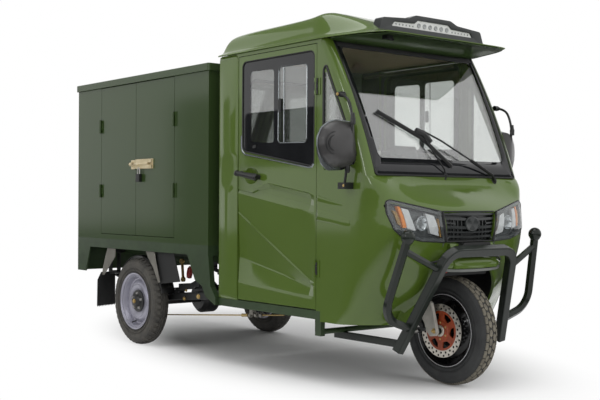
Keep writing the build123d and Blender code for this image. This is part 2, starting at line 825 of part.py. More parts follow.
def cab_rear_wall():
    """Bulkhead with its window cut."""
    wall = block(cab_rear, cab_rear + rear_wall_thickness, side_thickness - cab_half,
                 cab_half - side_thickness, sill_top, roof_base)
    opening = block(cab_rear - 1, cab_rear + rear_wall_thickness + 1, -rear_window_half,
                    rear_window_half, rear_window_low, rear_window_high)
    return wall - fillet(opening.edges().filter_by(Axis.X), window_corner)


# ---------------------------------------------------------------- front shell
def screen_circle():
    """Centre and radius of the windshield's curve in the X-Z plane."""
    run = Vector(screen_head_x - screen_foot_x, 0, roof_base - screen_foot_z)
    radius = ((run.length / 2) ** 2 + screen_bow ** 2) / (2 * screen_bow)
    middle = Vector(screen_foot_x, 0, screen_foot_z) + run * 0.5
    normal = Vector(run.Z, 0, -run.X).normalized()
    return middle - normal * (radius - screen_bow), radius


def screen_cylinder(inset, half):
    """Solid behind the windshield's curve, drawn in by an inset."""
    centre, radius = screen_circle()
    return rod((centre.X, -half, centre.Z), (centre.X, half, centre.Z), radius - inset)


def nose_section(row, inset):
    """Horizontal slice through the nose, closed across the door post."""
    z, centre, brow, side_end = row
    rear = post_front - (1.0 if inset else 0.0)
    front_x = nose_front - centre - inset
    brow_x, brow_y = nose_front - brow[0] - inset, cab_half - brow[1] - inset
    side_x, side_y = nose_front - side_end - inset * 0.5, cab_half - inset
    share = (side_y - brow_y) / (brow_y / 2)
    meet = (brow_x - share * (front_x - brow_x), side_y)
    lead = side_x + corner_fullness * (meet[0] - side_x)
    tail = (brow_x + corner_fullness * (meet[0] - brow_x),
            brow_y + corner_fullness * (meet[1] - brow_y))
    half = (
        Line((rear, side_y, z), (side_x, side_y, z))
        + Bezier((side_x, side_y, z), (lead, side_y, z), (*tail, z), (brow_x, brow_y, z))
        + Bezier((brow_x, brow_y, z), (front_x, brow_y / 2, z), (front_x, 0, z))
    )
    return make_face(half + mirror(half, Plane.XZ) + Line((rear, -side_y, z), (rear, side_y, z)))


def nose_solid(inset):
    """Solid of the nose between its bottom edge and the foot of the windshield."""
    return loft([nose_section(row, inset) for row in nose_rows])


def pillar_solid(inset):
    """Solid of the cab's front above the foot of the windshield."""
    rear = post_front - (1.0 if inset else 0.0)
    body = block(rear, nose_front, inset - cab_half, cab_half - inset,
                 screen_foot_z - (1.0 if inset else 0.0), roof_base + (1.0 if inset else 0.0))
    body = body & screen_cylinder(inset, cab_half)
    if inset:
        return body
    corners = body.edges().filter_by(GeomType.CIRCLE).group_by(Axis.X)[-1]
    return fillet(corners, pillar_round)


def quarter_outline(inset=0.0):
    """Triangular side window ahead of the door post, in X and Z."""
    corners = tuple((post_front + ahead, screen_foot_z + height) for ahead, height in quarter_points)
    return moved_in(corners, inset)


def wheel_opening():
    """Front opening over the wheel, in Y and Z."""
    return ((-wheel_opening_half_top, wheel_opening_top), (wheel_opening_half_top, wheel_opening_top),
            (wheel_opening_half_low, nose_bottom - 10), (-wheel_opening_half_low, nose_bottom - 10))


def grille_outline(gap=0.0):
    """Grille opening in Y and Z."""
    return ((-grille_half_top - gap, grille_top + gap), (grille_half_top + gap, grille_top + gap),
            (grille_half_bottom + gap, grille_bottom - gap),
            (-grille_half_bottom - gap, grille_bottom - gap))


def chin():
    """Lip that stands out over the front wheel."""
    back, tip = nose_front - shell_wall, nose_front + chin_reach
    outer = [(back, chin_top), (nose_front + shell_wall / 2, chin_top), (tip, chin_brow),
             (tip, wheel_opening_top), (back, wheel_opening_top)]
    body = side_plate(outer, -chin_half, chin_half)
    return fillet(body.edges().filter_by(Axis.Z).group_by(Axis.X)[-1], shell_wall)


def cab_front_shell():
    """Moulded nose with pillars, window, lamp and grille openings."""
    shell = nose_solid(0) + pillar_solid(0)
    shell -= nose_solid(shell_wall)
    shell -= pillar_solid(pillar_depth)
    shell -= block(post_front - 1, screen_foot_x - cowl_depth, pillar_depth - cab_half,
                   cab_half - pillar_depth, screen_foot_z - cowl_depth,
                   screen_foot_z + cowl_height)
    shell -= block(post_front + cowl_height, nose_front, -screen_half, screen_half, screen_low,
                   screen_high)
    shell -= rounded_side_plate(quarter_outline(), -cab_half - 1, cab_half + 1, quarter_corner)
    shell += chin()
    tip = nose_front + 2 * chin_reach
    shell -= front_plate(wheel_opening(), nose_front - front_cut_depth, tip)
    shell -= front_plate(grille_outline(), nose_front - lamp_depth, tip)
    lamp = front_plate(lamp_outline, nose_front - lamp_depth - shell_wall, tip)
    return shell - lamp - mirror(lamp, Plane.XZ)


def headlamps():
    """Lamp bodies whose lenses follow the nose."""
    lamp = front_plate(moved_in(lamp_outline, lamp_gap), nose_front - lamp_depth,
                       nose_front + chin_reach)
    return both_sides(nose_solid(0) & lamp)


def grille():
    """Frame, curved bars, dividers and a blank round plate."""
    front = nose_front - grille_setback
    back = front - grille_depth
    frame = front_plate(grille_outline(-1), back, front)
    frame -= front_plate(grille_outline(-1 - grille_rim), back - 1, front + 1)
    height = grille_top - grille_bottom - 2 * grille_rim
    parts = []
    for i in range(grille_bars):
        z = grille_bottom + grille_rim + height * (i + 0.7) / (grille_bars + 0.4)
        share = (z - grille_bottom) / (grille_top - grille_bottom)
        half = grille_half_bottom + (grille_half_top - grille_half_bottom) * share - grille_rim / 2
        parts.append(block(back + grille_setback, front - grille_setback, -half, half,
                           z - grille_bar / 2, z + grille_bar / 2))
    for y in grille_dividers:
        parts.append(block(back + grille_setback, front - 2 * grille_setback,
                           y - grille_divider / 2, y + grille_divider / 2,
                           grille_bottom + grille_rim / 2, grille_top - grille_rim / 2))
    middle = (grille_top + grille_bottom) / 2
    disc = rod((back + 2, 0, middle), (front + 2, 0, middle), emblem_radius)
    return frame + parts + disc


def windshield():
    """Curved pane set into the front opening."""
    pane = screen_cylinder(screen_setback, screen_half - glass_gap) - screen_cylinder(
        screen_setback + glass_thickness, cab_half)
    return pane & block(door_front, nose_front, -cab_half, cab_half, screen_low + glass_gap,
                        screen_high - glass_gap)


def cab_fixed_windows():
    """Quarter lights and the bulkhead window."""
    middle = cab_half - pillar_depth / 2
    quarter = rounded_side_plate(quarter_outline(glass_gap), middle - glass_thickness / 2,
                                 middle + glass_thickness / 2, quarter_corner - glass_gap)
    centre = cab_rear + rear_wall_thickness / 2
    rear = block(centre - glass_thickness / 2, centre + glass_thickness / 2,
                 glass_gap - rear_window_half, rear_window_half - glass_gap,
                 rear_window_low + glass_gap, rear_window_high - glass_gap)
    return both_sides(quarter) + fillet(rear.edges().filter_by(Axis.X), window_corner - glass_gap)


def front_wheel_arch():
    """Black liner over the front wheel, trimmed to the inside of the nose."""
    outer = block(arch_rear, arch_front, -arch_half, arch_half, nose_bottom + arch_wall, arch_top)
    inner = block(arch_rear + arch_wall, arch_front + 1, arch_wall - arch_half,
                  arch_half - arch_wall, nose_bottom, arch_top - arch_wall)
    liner = (outer - inner) & nose_solid(shell_wall + 1)
    hole = rod(along_steer(crown_height), along_steer(head_tube_low), arch_stem_hole)
    liner -= hole
    return liner - front_plate(wheel_opening(), nose_front - front_cut_depth, nose_front)


# ---------------------------------------------------------------- cab interior
def cab_floor():
    """Floor from the bulkhead to the wheel arch, resting on the rails."""
    return block(cab_rear + rear_wall_thickness, arch_rear - floor_gap, side_thickness - cab_half,
                 cab_half - side_thickness, sill_top, sill_top + floor_thickness)


def dashboard():
    """Shelf under the windshield."""
    rear, front = post_front + dash_lead, screen_foot_x - dash_setback
    edge = dash_chamfer
    points = [(rear, dash_bottom), (rear, dash_top - edge), (rear + edge, dash_top),
              (front, dash_top - edge), (front - edge / 2, dash_bottom + edge),
              (front - 3 * edge, dash_bottom)]
    return side_plate(points, dash_side - cab_half, cab_half - dash_side)


def seat_base():
    """Hollow box under the seat."""
    start, end, half, top = seat_box
    x0, x1 = cab_rear + start, cab_rear + end
    floor = sill_top + floor_thickness
    outer = block(x0, x1, -half, half, floor, top)
    return outer - block(x0 + seat_box_wall, x1 - seat_box_wall, seat_box_wall - half,
                         half - seat_box_wall, floor - 1, top - seat_box_wall)


def seat_cushions():
    """Bench cushion and back cushion."""
    start, end, half, top = seat_box
    back_x = cab_rear + rear_wall_thickness
    bench = block(cab_rear + start + bench_setback, cab_rear + end + cushion_overhang, -half, half,
                  top, top + cushion_height)
    back = block(back_x, back_x + back_thickness, -half, half, back_low, back_high)
    return fillet(bench.edges(), cushion_corner) + fillet(back.edges(), cushion_corner)


def battery_pack():
    """Traction battery inside the seat box."""
    start, end, half, height = battery
    floor = sill_top + floor_thickness
    return block(cab_rear + start, cab_rear + end, -half, half, floor, floor + height)


# ---------------------------------------------------------------- roof
def roof_section(row, inset):
    """Cross-section of the roof: flange, sloped side, shoulder and crown."""
    x, flange_reach, shoulder_inset, shoulder_height, crown = row
    flange, shoulder = cab_half + flange_reach, cab_half - shoulder_inset
    side = [(flange, roof_base), (flange, roof_base + flange_thickness),
            (flange - flange_width, roof_base + flange_thickness + 2)]
    if inset:
        side = [(flange - flange_width - inset, roof_base - inset / 2)]
    half = side + [(shoulder - inset, roof_base + shoulder_height - inset),
                   (shoulder - crown_shelf - inset, roof_base + crown - inset)]
    points = [(x, -y, z) for y, z in half] + [(x, y, z) for y, z in reversed(half)]
    return make_face(Polyline(*points, close=True))


def roof_solid(inset):
    """Roof body as a loft through its cross-sections."""
    rows = roof_rows if not inset else roof_rows[2:7]
    return loft([roof_section(row, inset) for row in rows], ruled=True)


def cab_roof():
    """Raised roof shell that runs forward into a visor over the windshield."""
    shell = roof_solid(0) - roof_solid(roof_wall)
    tip = nose_front - visor_setback
    scoop = [(post_front + scoop_start, roof_base - 1), (tip - flange_width, roof_base - 1),
             (tip - crown_shelf, roof_base + flange_thickness),
             (tip - 2.5 * crown_shelf, roof_base + scoop_depth),
             (post_front + scoop_start + cowl_height, roof_base + scoop_depth)]
    return shell - side_plate(scoop, -scoop_half, scoop_half)


def headliner():
    """Ceiling panel under the roof."""
    side = cab_half - side_thickness - headliner_gap
    return block(cab_rear + rear_wall_thickness + headliner_gap, door_front + headliner_gap,
                 -side, side, roof_base - headliner_thickness, roof_base)


def light_bar():
    """Stepped lamp housing standing on the front of the roof."""
    front = nose_front - light_bar_setback
    left = [(half, roof_base + height) for half, height in light_bar_steps]
    right = [(-y, z) for y, z in reversed(left)]
    return front_plate(left + right, front - light_bar_depth, front) - roof_solid(0)


# ---------------------------------------------------------------- bull bar and mirrors
def hoop_leg_point(z, side):
    """Point on the centre line of a hoop leg at a height."""
    share = (z - hoop_foot[2]) / (hoop_top_z - hoop_foot[2])
    return Vector(hoop_foot[0] + (nose_front + hoop_reach - hoop_foot[0]) * share,
                  side * (hoop_foot[1] + (hoop_top_half - hoop_foot[1]) * share), z)


def bull_bar():
    """Square-tube hoop, horns with ball ends, struts and tie bars."""
    corners = [hoop_leg_point(z, side) for side, z in (
        (-1, hoop_foot[2]), (-1, hoop_top_z), (1, hoop_top_z), (1, hoop_foot[2]))]
    path = FilletPolyline(*corners, radius=hoop_bend)
    start = Plane(path @ 0, x_dir=(0, 1, 0.2), z_dir=path % 0)
    hoop = sweep(start * RectangleRounded(hoop_section, hoop_section, hoop_round), path=path)
    pieces = []
    for side in (-1, 1):
        top = Vector(horn_top[0], side * horn_top[1], horn_top[2])
        bend = Vector(horn_bend_point[0], side * horn_bend_point[1], horn_bend_point[2])
        horn = FilletPolyline(top, bend, hoop_leg_point(horn_foot_z, side), radius=horn_bend)
        pieces.append(sweep(Plane(horn @ 0, z_dir=horn % 0) * Circle(horn_tube_radius), path=horn))
        pieces.append(Location(top) * Sphere(ball_radius))
        share = (horn_top[2] - strut_out_z) / (horn_top[2] - horn_bend_point[2])
        outer = top + (bend - top) * share
        pieces.append(rod(outer, hoop_leg_point(strut_in_z, side), strut_radius))
        foot = hoop_leg_point(tie_z, side)
        y0, y1 = sorted((foot.Y - tie_bar / 2, foot.Y + tie_bar / 2))
        pieces.append(block(post_front - tie_reach, foot.X, y0, y1, tie_z - tie_bar / 2,
                            tie_z + tie_bar / 2))
    return hoop + pieces


def mirrors():
    """Oval mirror heads on bent rods from the pillars."""
    x, y, z = mirror_centre
    face = Plane((x - mirror_thickness / 2, y, z), x_dir=(0, 1, 0), z_dir=(1, 0, 0))
    oval = face * Ellipse(mirror_width / 2, mirror_height / 2)
    head = extrude(oval, amount=mirror_thickness, dir=(1, 0, 0))
    head = fillet(head.edges().group_by(Axis.X)[-1], mirror_round)
    rod_y = cab_half + mirror_rod_offset
    points = [(nose_front - behind, rod_y, height) for behind, height in mirror_rod_points]
    pieces = [rod(a, b, mirror_rod_radius) for a, b in zip(points, points[1:])]
    pieces += [Location(p) * Sphere(mirror_rod_radius + 1) for p in points[:-1]]
    pieces.append(rod((points[0][0], cab_half, points[0][2]), points[0], mirror_rod_radius))
    length, height = mirror_foot
    foot_x, _, foot_z = points[-1]
    pieces.append(block(foot_x - length / 2, foot_x + length / 2, cab_half,
                        rod_y + mirror_rod_radius, foot_z - height / 2, foot_z + height / 2))
    return both_sides(head + pieces)


# ---------------------------------------------------------------- guards and rear lamps
def mudguards():
    """Arched guards over the rear wheels with splash panels, flaps and stays."""
    a0, a1 = (radians(a) for a in guard_angles)

    def arc(radius):
        ends = [(radius * cos(a), guard_inner, tyre_radius + radius * sin(a)) for a in (a0, a1)]
        return ThreePointArc(ends[0], (0, guard_inner, tyre_radius + radius), ends[1])

    def strip(x0, x1, z0, z1):
        middle = (guard_inner + guard_outer) / 2
        return block(x0, x1, middle - stay_width / 2, middle + stay_width / 2, z0, z1)

    inner, outer = arc(guard_radius - guard_thickness), arc(guard_radius)
    face = make_face(inner + outer + Line(inner @ 0, outer @ 0) + Line(inner @ 1, outer @ 1))
    guard = extrude(face, amount=guard_outer - guard_inner, dir=(0, 1, 0))
    splash = block(splash_station, splash_station + flap_thickness, guard_inner, guard_outer,
                   splash_bottom, bed_bottom)
    flap = block(flap_station, flap_station + flap_thickness, guard_inner, guard_outer,
                 flap_bottom, flap_top)
    stay = strip(flap_station + flap_thickness, flap_station + 2 * flap_thickness,
                 flap_top - stay_lap, bed_bottom)
    front_z, rear_z = splash_bottom + stay_lap / 4, flap_top - stay_lap / 4
    front_end, rear_end = (sqrt((guard_radius - guard_thickness) ** 2 - (z - tyre_radius) ** 2)
                           for z in (front_z, rear_z))
    braces = [strip(front_end, splash_station + flap_thickness, front_z,
                    front_z + brace_thickness),
              strip(flap_station, -rear_end, rear_z, rear_z + brace_thickness)]
    return both_sides(guard + splash + flap + stay + braces)


def tail_lamps():
    """Lamp units on the rear apron."""
    body = block(box_rear - lamp_thickness, box_rear, lamp_y - lamp_width / 2,
                 lamp_y + lamp_width / 2, lamp_z - lamp_height / 2, lamp_z + lamp_height / 2)
    return both_sides(fillet(body.edges().filter_by(Axis.X), 8))


# ---------------------------------------------------------------- assembly
def rear_wheel(side):
    """Tyre and rim of one rear wheel; the rim's dish faces outward."""
    centre = (0, side * rear_track / 2, tyre_radius)
    wheel = rim((0, 0, 0), 8, rear_hub_radius, rear_hub_half, axle_stub_radius + shaft_clearance)
    if side < 0:
        wheel = mirror(wheel, Plane.XZ)
    return tyre(centre), Location(centre) * wheel


def assemble():
    """Every part by name, in stations from the rear axle."""
    parts = {
        "chassis_frame": chassis_frame(),
        "spring_hangers": spring_hangers(),
        "bed_gussets": bed_gussets(),
        "steering_neck": steering_neck(),
        "bed_frame": bed_frame(),
        "box_floor": box_floor(),
        "box_end_walls": box_ends(),
        "box_lid": lid(),
        "cab_floor": cab_floor(),
        "cab_rear_wall": cab_rear_wall(),
        "cab_sides": cab_side(-1) + cab_side(1),
        "cab_front_shell": cab_front_shell(),
        "cab_roof": cab_roof(),
        "headliner": headliner(),
        "windshield": windshield(),
        "cab_fixed_windows": cab_fixed_windows(),
        "grille": grille(),
        "headlamps": headlamps(),
        "light_bar": light_bar(),
        "bull_bar": bull_bar(),
        "mirrors": mirrors(),
        "front_wheel_arch": front_wheel_arch(),
        "dashboard": dashboard(),
        "seat_base": seat_base(),
        "seat_cushions": seat_cushions(),
        "battery_pack": battery_pack(),
        "front_fork": fork(),
        "handlebar": handlebar(),
        "front_tyre": tyre(axle_front),
        "front_rim": rim(axle_front, -10, front_hub_radius, front_hub_half,
                         front_axle_radius + shaft_clearance),
        "front_brake_disc": brake_disc(),
        "rear_axle": rear_axle(),
        "leaf_springs": leaf_springs(),
        "mudguards": mudguards(),
        "tail_lamps": tail_lamps(),
    }
    sides = []
    for name, side in (("right", -1), ("left", 1)):
        frame, rear_leaf, front_leaf = box_door_parts(side)
        sides.append(frame)
        parts[f"box_door_rear_{name}"] = rear_leaf
        parts[f"box_door_front_{name}"] = front_leaf
        parts[f"slide_bolt_{name}"] = slide_bolt(side)
        parts[f"cab_door_{name}"] = cab_door(side)
        parts[f"cab_door_glass_{name}"] = cab_door_glass(side)
        parts[f"cab_door_handle_{name}"] = door_handle(side)
        parts[f"rear_tyre_{name}"], parts[f"rear_rim_{name}"] = rear_wheel(side)
    parts["box_sides"] = sides[0] + sides[1]
    return parts


os.makedirs("parts", exist_ok=True)
for part_name, shape in assemble().items():
    placed = Location((-mid_station, 0, 0)) * shape
    export_step(placed, f"parts/{part_name}.step")
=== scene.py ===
# %% [markdown]
# # Electric cargo tricycle with an enclosed cab and a van body
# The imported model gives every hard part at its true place. This lesson dresses it: real finishes
# for the sheet metal, rubber and glass, and modelled pieces for tread, lamps, seals, bolts and
# seats. All lengths are in metres, +X is forward, +Y is the driver's left and +Z is up.

# %% Load the frame
import math

import bmesh
import bpy
from mathutils import Matrix, Vector


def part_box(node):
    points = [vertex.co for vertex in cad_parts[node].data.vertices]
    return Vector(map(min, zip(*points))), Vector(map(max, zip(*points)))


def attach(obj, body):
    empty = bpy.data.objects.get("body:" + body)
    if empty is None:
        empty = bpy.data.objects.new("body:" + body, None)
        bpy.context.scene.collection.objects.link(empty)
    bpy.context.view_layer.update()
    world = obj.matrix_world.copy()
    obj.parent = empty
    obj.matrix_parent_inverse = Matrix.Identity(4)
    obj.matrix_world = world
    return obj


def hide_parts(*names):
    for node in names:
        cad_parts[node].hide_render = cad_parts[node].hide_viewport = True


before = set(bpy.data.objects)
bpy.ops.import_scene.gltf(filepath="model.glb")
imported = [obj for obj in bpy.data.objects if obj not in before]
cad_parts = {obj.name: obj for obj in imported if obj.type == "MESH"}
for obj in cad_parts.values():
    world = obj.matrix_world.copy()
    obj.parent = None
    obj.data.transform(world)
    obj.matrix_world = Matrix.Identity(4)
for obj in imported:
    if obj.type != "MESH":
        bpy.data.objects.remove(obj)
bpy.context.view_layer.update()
scene = bpy.context.scene

# %% [markdown]
# The camera stands at the right front, a little below the roof, and looks level across the
# nose. A long lens keeps the van body from shrinking too fast. It comes first, because every
# later choice of detail depends on what it sees.

# %% Camera
MM = 0.001
EYE = Vector((4.485, -3.5349, 0.8552))
VIEW_AZIMUTH = math.radians(141.0)
ROLL = math.radians(0.3)
LENS = 61.1


def add_camera():
    """Level camera at EYE, looking along VIEW_AZIMUTH."""
    data = bpy.data.cameras.new("camera")
    data.lens = LENS
    data.sensor_width = 36.0
    data.clip_end = 100.0
    camera = bpy.data.objects.new("camera", data)
    turn = Matrix.Rotation(VIEW_AZIMUTH - math.pi / 2, 4, "Z")
    tip = Matrix.Rotation(math.pi / 2, 4, "X")
    camera.matrix_world = Matrix.Translation(EYE) @ turn @ tip @ Matrix.Rotation(ROLL, 4, "Z")
    scene.collection.objects.link(camera)
    scene.camera = camera
    return camera


add_camera()
print("camera at", tuple(EYE))

# %% [markdown]
# Colours are written as the sRGB hex values that a paint chart gives. Blender's shaders work in
# linear light, so one function turns them over. A second small function adds a shader node with
# its settings and its links, which keeps each material short enough to read.

# %% Colour and node helpers


def hex_colour(code):
    """Linear RGBA of an sRGB hex colour."""
    parts = [int(code[i:i + 2], 16) / 255 for i in (1, 3, 5)]
    linear = [c / 12.92 if c <= 0.04045 else ((c + 0.055) / 1.055) ** 2.4 for c in parts]
    return (*linear, 1.0)


def empty_tree(holder):
    """Empty node tree of a material or a world."""
    holder.use_nodes = True
    holder.node_tree.nodes.clear()
    return holder.node_tree


def add_node(tree, kind, values=(), links=(), **settings):
    """Add a node. values holds socket: value, links holds socket: source node or socket."""
    node = tree.nodes.new("ShaderNode" + kind)
    for key, value in settings.items():
        setattr(node, key, value)
    for key, value in dict(values).items():
        node.inputs[key].default_value = value
    for key, source in dict(links).items():
        if isinstance(source, bpy.types.Node):
            source = source.outputs[0]
        tree.links.new(source, node.inputs[key])
    return node


def new_material(name, colour, roughness=0.5, metallic=0.0, **extra):
    """Principled material with its object coordinates; returns material, tree, shader, coords."""
    material = bpy.data.materials.new(name)
    tree = empty_tree(material)
    shader = add_node(tree, "BsdfPrincipled", {"Base Color": hex_colour(colour), "Roughness": roughness,
        "Metallic": metallic})
    for key, value in extra.items():
        shader.inputs[key.replace("_", " ")].default_value = value
    add_node(tree, "OutputMaterial", links={"Surface": shader})
    return material, tree, shader, add_node(tree, "TexCoord").outputs["Object"]


def noise(tree, coords, size, detail=3.0, roughness=0.5):
    """Noise whose grains are about size metres across."""
    return add_node(tree, "TexNoise", {"Scale": 1.0 / size, "Detail": detail, "Roughness": roughness},
        {"Vector": coords})


def vary_colour(tree, shader, factor, dark, light):
    """Let a factor blend the base colour between two hex colours."""
    ramp = add_node(tree, "ValToRGB", links={"Fac": factor})
    for stop, place, code in zip(ramp.color_ramp.elements, (0.3, 0.7), (dark, light)):
        stop.position = place
        stop.color = hex_colour(code)
    tree.links.new(ramp.outputs["Color"], shader.inputs["Base Color"])


def vary_roughness(tree, shader, factor, low, high):
    """Let a factor move the roughness between two values."""
    spread = add_node(tree, "MapRange", {"To Min": low, "To Max": high}, {"Value": factor})
    tree.links.new(spread.outputs["Result"], shader.inputs["Roughness"])


def add_bump(tree, shader, height, depth, strength=1.0):
    """Bump of a real depth in metres."""
    bump = add_node(tree, "Bump", {"Strength": strength, "Distance": depth}, {"Height": height})
    tree.links.new(bump.outputs["Normal"], shader.inputs["Normal"])


print("helpers ready")

# %% [markdown]
# The cab, the van body and the frame wear the same olive gloss paint. The van body's copy is a darker
# green, which is painted shade, and the visor's underside wears it too. Sprayed two-pack paint is a
# coloured film under a clear one, so the base is a saturated dark green and a coat on top mirrors
# the pale room. Each press-formed panel also has a slight orange-peel texture, 2 to 3 mm from
# crest to crest, and road dust that dulls the gloss in soft patches.

# %% Painted steel


def sprayed_paint(name, colour, worn, gloss, coat=1.0, patch=0.35, peel=0.0025, peel_depth=0.00002):
    """Two-pack paint: colour drifts a little to worn, gloss is the coat's roughness."""
    material, tree, shader, coords = new_material(name, colour, 0.42, Coat_Weight=coat,
        Coat_Roughness=gloss, Specular_IOR_Level=0.1)
    cloud = noise(tree, coords, patch, detail=4.0)
    vary_colour(tree, shader, cloud, colour, worn)
    vary_roughness(tree, shader, cloud, 0.36, 0.5)
    add_bump(tree, shader, noise(tree, coords, peel, detail=1.0), peel_depth)
    return material


cab_paint = sprayed_paint("olive_gloss_paint", "#4a601e", "#4e6423", 0.07)
# The van's copy is a darker green than the cab's: painted shade on the van body and under the visor.
van_paint_painted_shade = sprayed_paint("olive_van_paint", "#2f421e", "#334422", 0.12, 0.62)
frame_paint = sprayed_paint("olive_frame_paint", "#33452a", "#2c3c24", 0.25, 0.8, 0.08)
bar_paint = sprayed_paint("dark_green_tube_enamel", "#1a211b", "#151a16", 0.15, 0.55, 0.1)
print("paints:", cab_paint.name, van_paint_painted_shade.name, frame_paint.name, bar_paint.name)

# %% [markdown]
# Rubber, moulded plastic and bare metals come next. Tyre rubber is matt with a grey bloom of
# dust in its grain. Moulded ABS has a fine spark-eroded grain. The rims are sprayed silver at the
# rear and gloss black at the front, and the fork and brake parts are bright or zinc-plated steel.

# %% Rubber, plastic and metal


def grained(name, colour, dusty, roughness, grain, depth, patch=0.06, metallic=0.0):
    """A material with soft patches of dust and a grain of a real size in metres."""
    material, tree, shader, coords = new_material(name, colour, roughness, metallic)
    cloud = noise(tree, coords, patch, detail=5.0, roughness=0.6)
    vary_colour(tree, shader, cloud, colour, dusty)
    vary_roughness(tree, shader, cloud, roughness * 0.85, min(1.0, roughness * 1.15))
    add_bump(tree, shader, noise(tree, coords, grain, detail=2.0), depth)
    return material


tyre_rubber = grained("tyre_rubber", "#262728", "#3a3b3b", 0.75, 0.0015, 0.00012)
seal_rubber = grained("black_seal_rubber", "#101111", "#1c1d1d", 0.55, 0.001, 0.00005)
black_plastic = grained("black_abs", "#151616", "#202121", 0.42, 0.0012, 0.00004)
grey_plastic = grained("dark_grey_abs", "#37393a", "#3f4142", 0.38, 0.0012, 0.00004)
trim_plastic = grained("beige_grey_trim", "#6d675c", "#7a7468", 0.6, 0.0015, 0.00006)
black_steel = grained("black_powder_coat", "#161717", "#222323", 0.4, 0.001, 0.00003)
silver_rim = grained("silver_sprayed_rim", "#9493a0", "#a3a2ad", 0.33, 0.002, 0.00002, 0.09, 0.55)
black_rim = grained("gloss_black_rim", "#0e0e0f", "#161617", 0.16, 0.03, 0.00004, 0.09)
bright_steel = grained("bright_fork_steel", "#c4c2be", "#aeaca8", 0.28, 0.001, 0.00002, 0.05, 1.0)
print("solid finishes:", tyre_rubber.name, silver_rim.name, bright_steel.name)

# %% [markdown]
# Automotive glass is thin laminated or tempered sheet with a faint green cast. Light has to pass
# it without a costly caustic, so shadow rays meet plain transparency. The reflection comes from a
# thin gloss layer by Fresnel, which is what a flat sheet shows.

# %% Glass


def sheet_glass(name, tint, smeared, least, haze=0.01):
    """Thin sheet glass: smeared tint under a reflection that grows towards the edge."""
    material = bpy.data.materials.new(name)
    tree = empty_tree(material)
    coords = add_node(tree, "TexCoord").outputs["Object"]
    smear = noise(tree, coords, 0.12, detail=4.0)
    wash = add_node(tree, "MixRGB", {1: hex_colour(tint), 2: hex_colour(smeared)}, {0: smear})
    clear = add_node(tree, "BsdfTransparent", {}, {"Color": wash})
    gloss = add_node(tree, "BsdfGlossy", {"Roughness": haze})
    facing = add_node(tree, "LayerWeight", {"Blend": 0.5}).outputs["Facing"]
    graze = add_node(tree, "Math", {1: 5.0}, {0: facing}, operation="POWER")
    edge = add_node(tree, "MapRange", {"To Min": least, "To Max": 1.0}, {"Value": graze})
    mix = add_node(tree, "MixShader", {}, {0: edge, 1: clear, 2: gloss})
    add_node(tree, "OutputMaterial", links={"Surface": mix})
    return material


window_glass = sheet_glass("tempered_window_glass", "#fcfdfc", "#f7faf8", 0.19)
screen_glass = sheet_glass("laminated_windshield_glass", "#fcfdfc", "#f8faf9", 0.24)
lamp_clear = sheet_glass("clear_polycarbonate", "#fafbfb", "#f4f6f6", 0.05)
print("glass:", window_glass.name, lamp_clear.name)

# %% [markdown]
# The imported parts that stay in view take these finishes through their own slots. Their meshes
# are left alone. The others are replaced by modelled pieces further down.

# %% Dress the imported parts


def dress(material, *names):
    """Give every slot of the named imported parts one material."""
    for name in names:
        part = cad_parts[name]
        if not part.material_slots:
            part.data.materials.append(material)
        for holder in part.material_slots:
            holder.material = material


SIGN = {"right": -1, "left": 1}
SIDES = tuple(SIGN)
dress(cab_paint, "cab_sides", "cab_front_shell")
# The van body takes the darker copy of the olive paint, which is painted shade.
dress(van_paint_painted_shade, "box_floor", "box_end_walls", "box_lid", "box_sides",
    *(f"box_door_{end}_{side}" for end in ("rear", "front") for side in SIDES))
dress(frame_paint, "chassis_frame", "bed_gussets", "steering_neck", "bed_frame")
dress(bar_paint, "bull_bar")
dress(black_plastic, "front_wheel_arch")
dress(grey_plastic, "dashboard")
dress(trim_plastic, "seat_base")
dress(black_steel, "rear_axle", "leaf_springs", "spring_hangers", "battery_pack", "cab_floor")
dress(screen_glass, "windshield")
print("packed parts dressed")

# %% [markdown]
# The room is a white studio. The floor is a pale sweep that keeps the tricycle's shadow and
# fades to plain white further out, so that no horizon shows. The world is white for what the
# camera, the paint and the glass see, and a little dimmer as a light. Three large soft lamps
# model the shapes: one above, one from the front, one from the side.

# %% Studio
FLOOR_SIZE = 40.0
SWEEP_HALF = (1.9, 0.87)
FADE = (0.72, 1.35)  # shares of the sweep between which the shadow fades to white
ROOM = (1.7, 2.5)  # shares of the sweep between which reflections of the floor grow dim
SKY_LIGHT = 0.62
ROOM_FLOOR = 0.12
CEILING_LIGHT = 0.22


def any_of(tree, first, second):
    """The larger of two values, which is 1 when either is."""
    return add_node(tree, "Math", operation="MAXIMUM", links={0: first, 1: second}).outputs[0]


def white_rays(tree):
    """1 for camera, glossy and transmission rays, else 0."""
    path = add_node(tree, "LightPath").outputs
    seen = any_of(tree, path["Is Camera Ray"], path["Is Transmission Ray"])
    return any_of(tree, seen, path["Is Glossy Ray"])


def add_world():
    """White room, dimmer as a light than as a view."""
    scene.world = bpy.data.worlds.new("studio")
    tree = empty_tree(scene.world)
    strength = add_node(tree, "MapRange", {"To Min": SKY_LIGHT, "To Max": 1.0},
        {"Value": white_rays(tree)})
    sky = add_node(tree, "Background", {"Color": (1, 1, 1, 1)}, {"Strength": strength})
    add_node(tree, "OutputWorld", links={"Surface": sky})


def new_object(name, bm, *materials):
    """Object made from a bmesh, which is used up."""
    mesh = bpy.data.meshes.new(name)
    bm.to_mesh(mesh)
    bm.free()
    for material in materials:
        mesh.materials.append(material)
    thing = bpy.data.objects.new(name, mesh)
    scene.collection.objects.link(thing)
    return thing


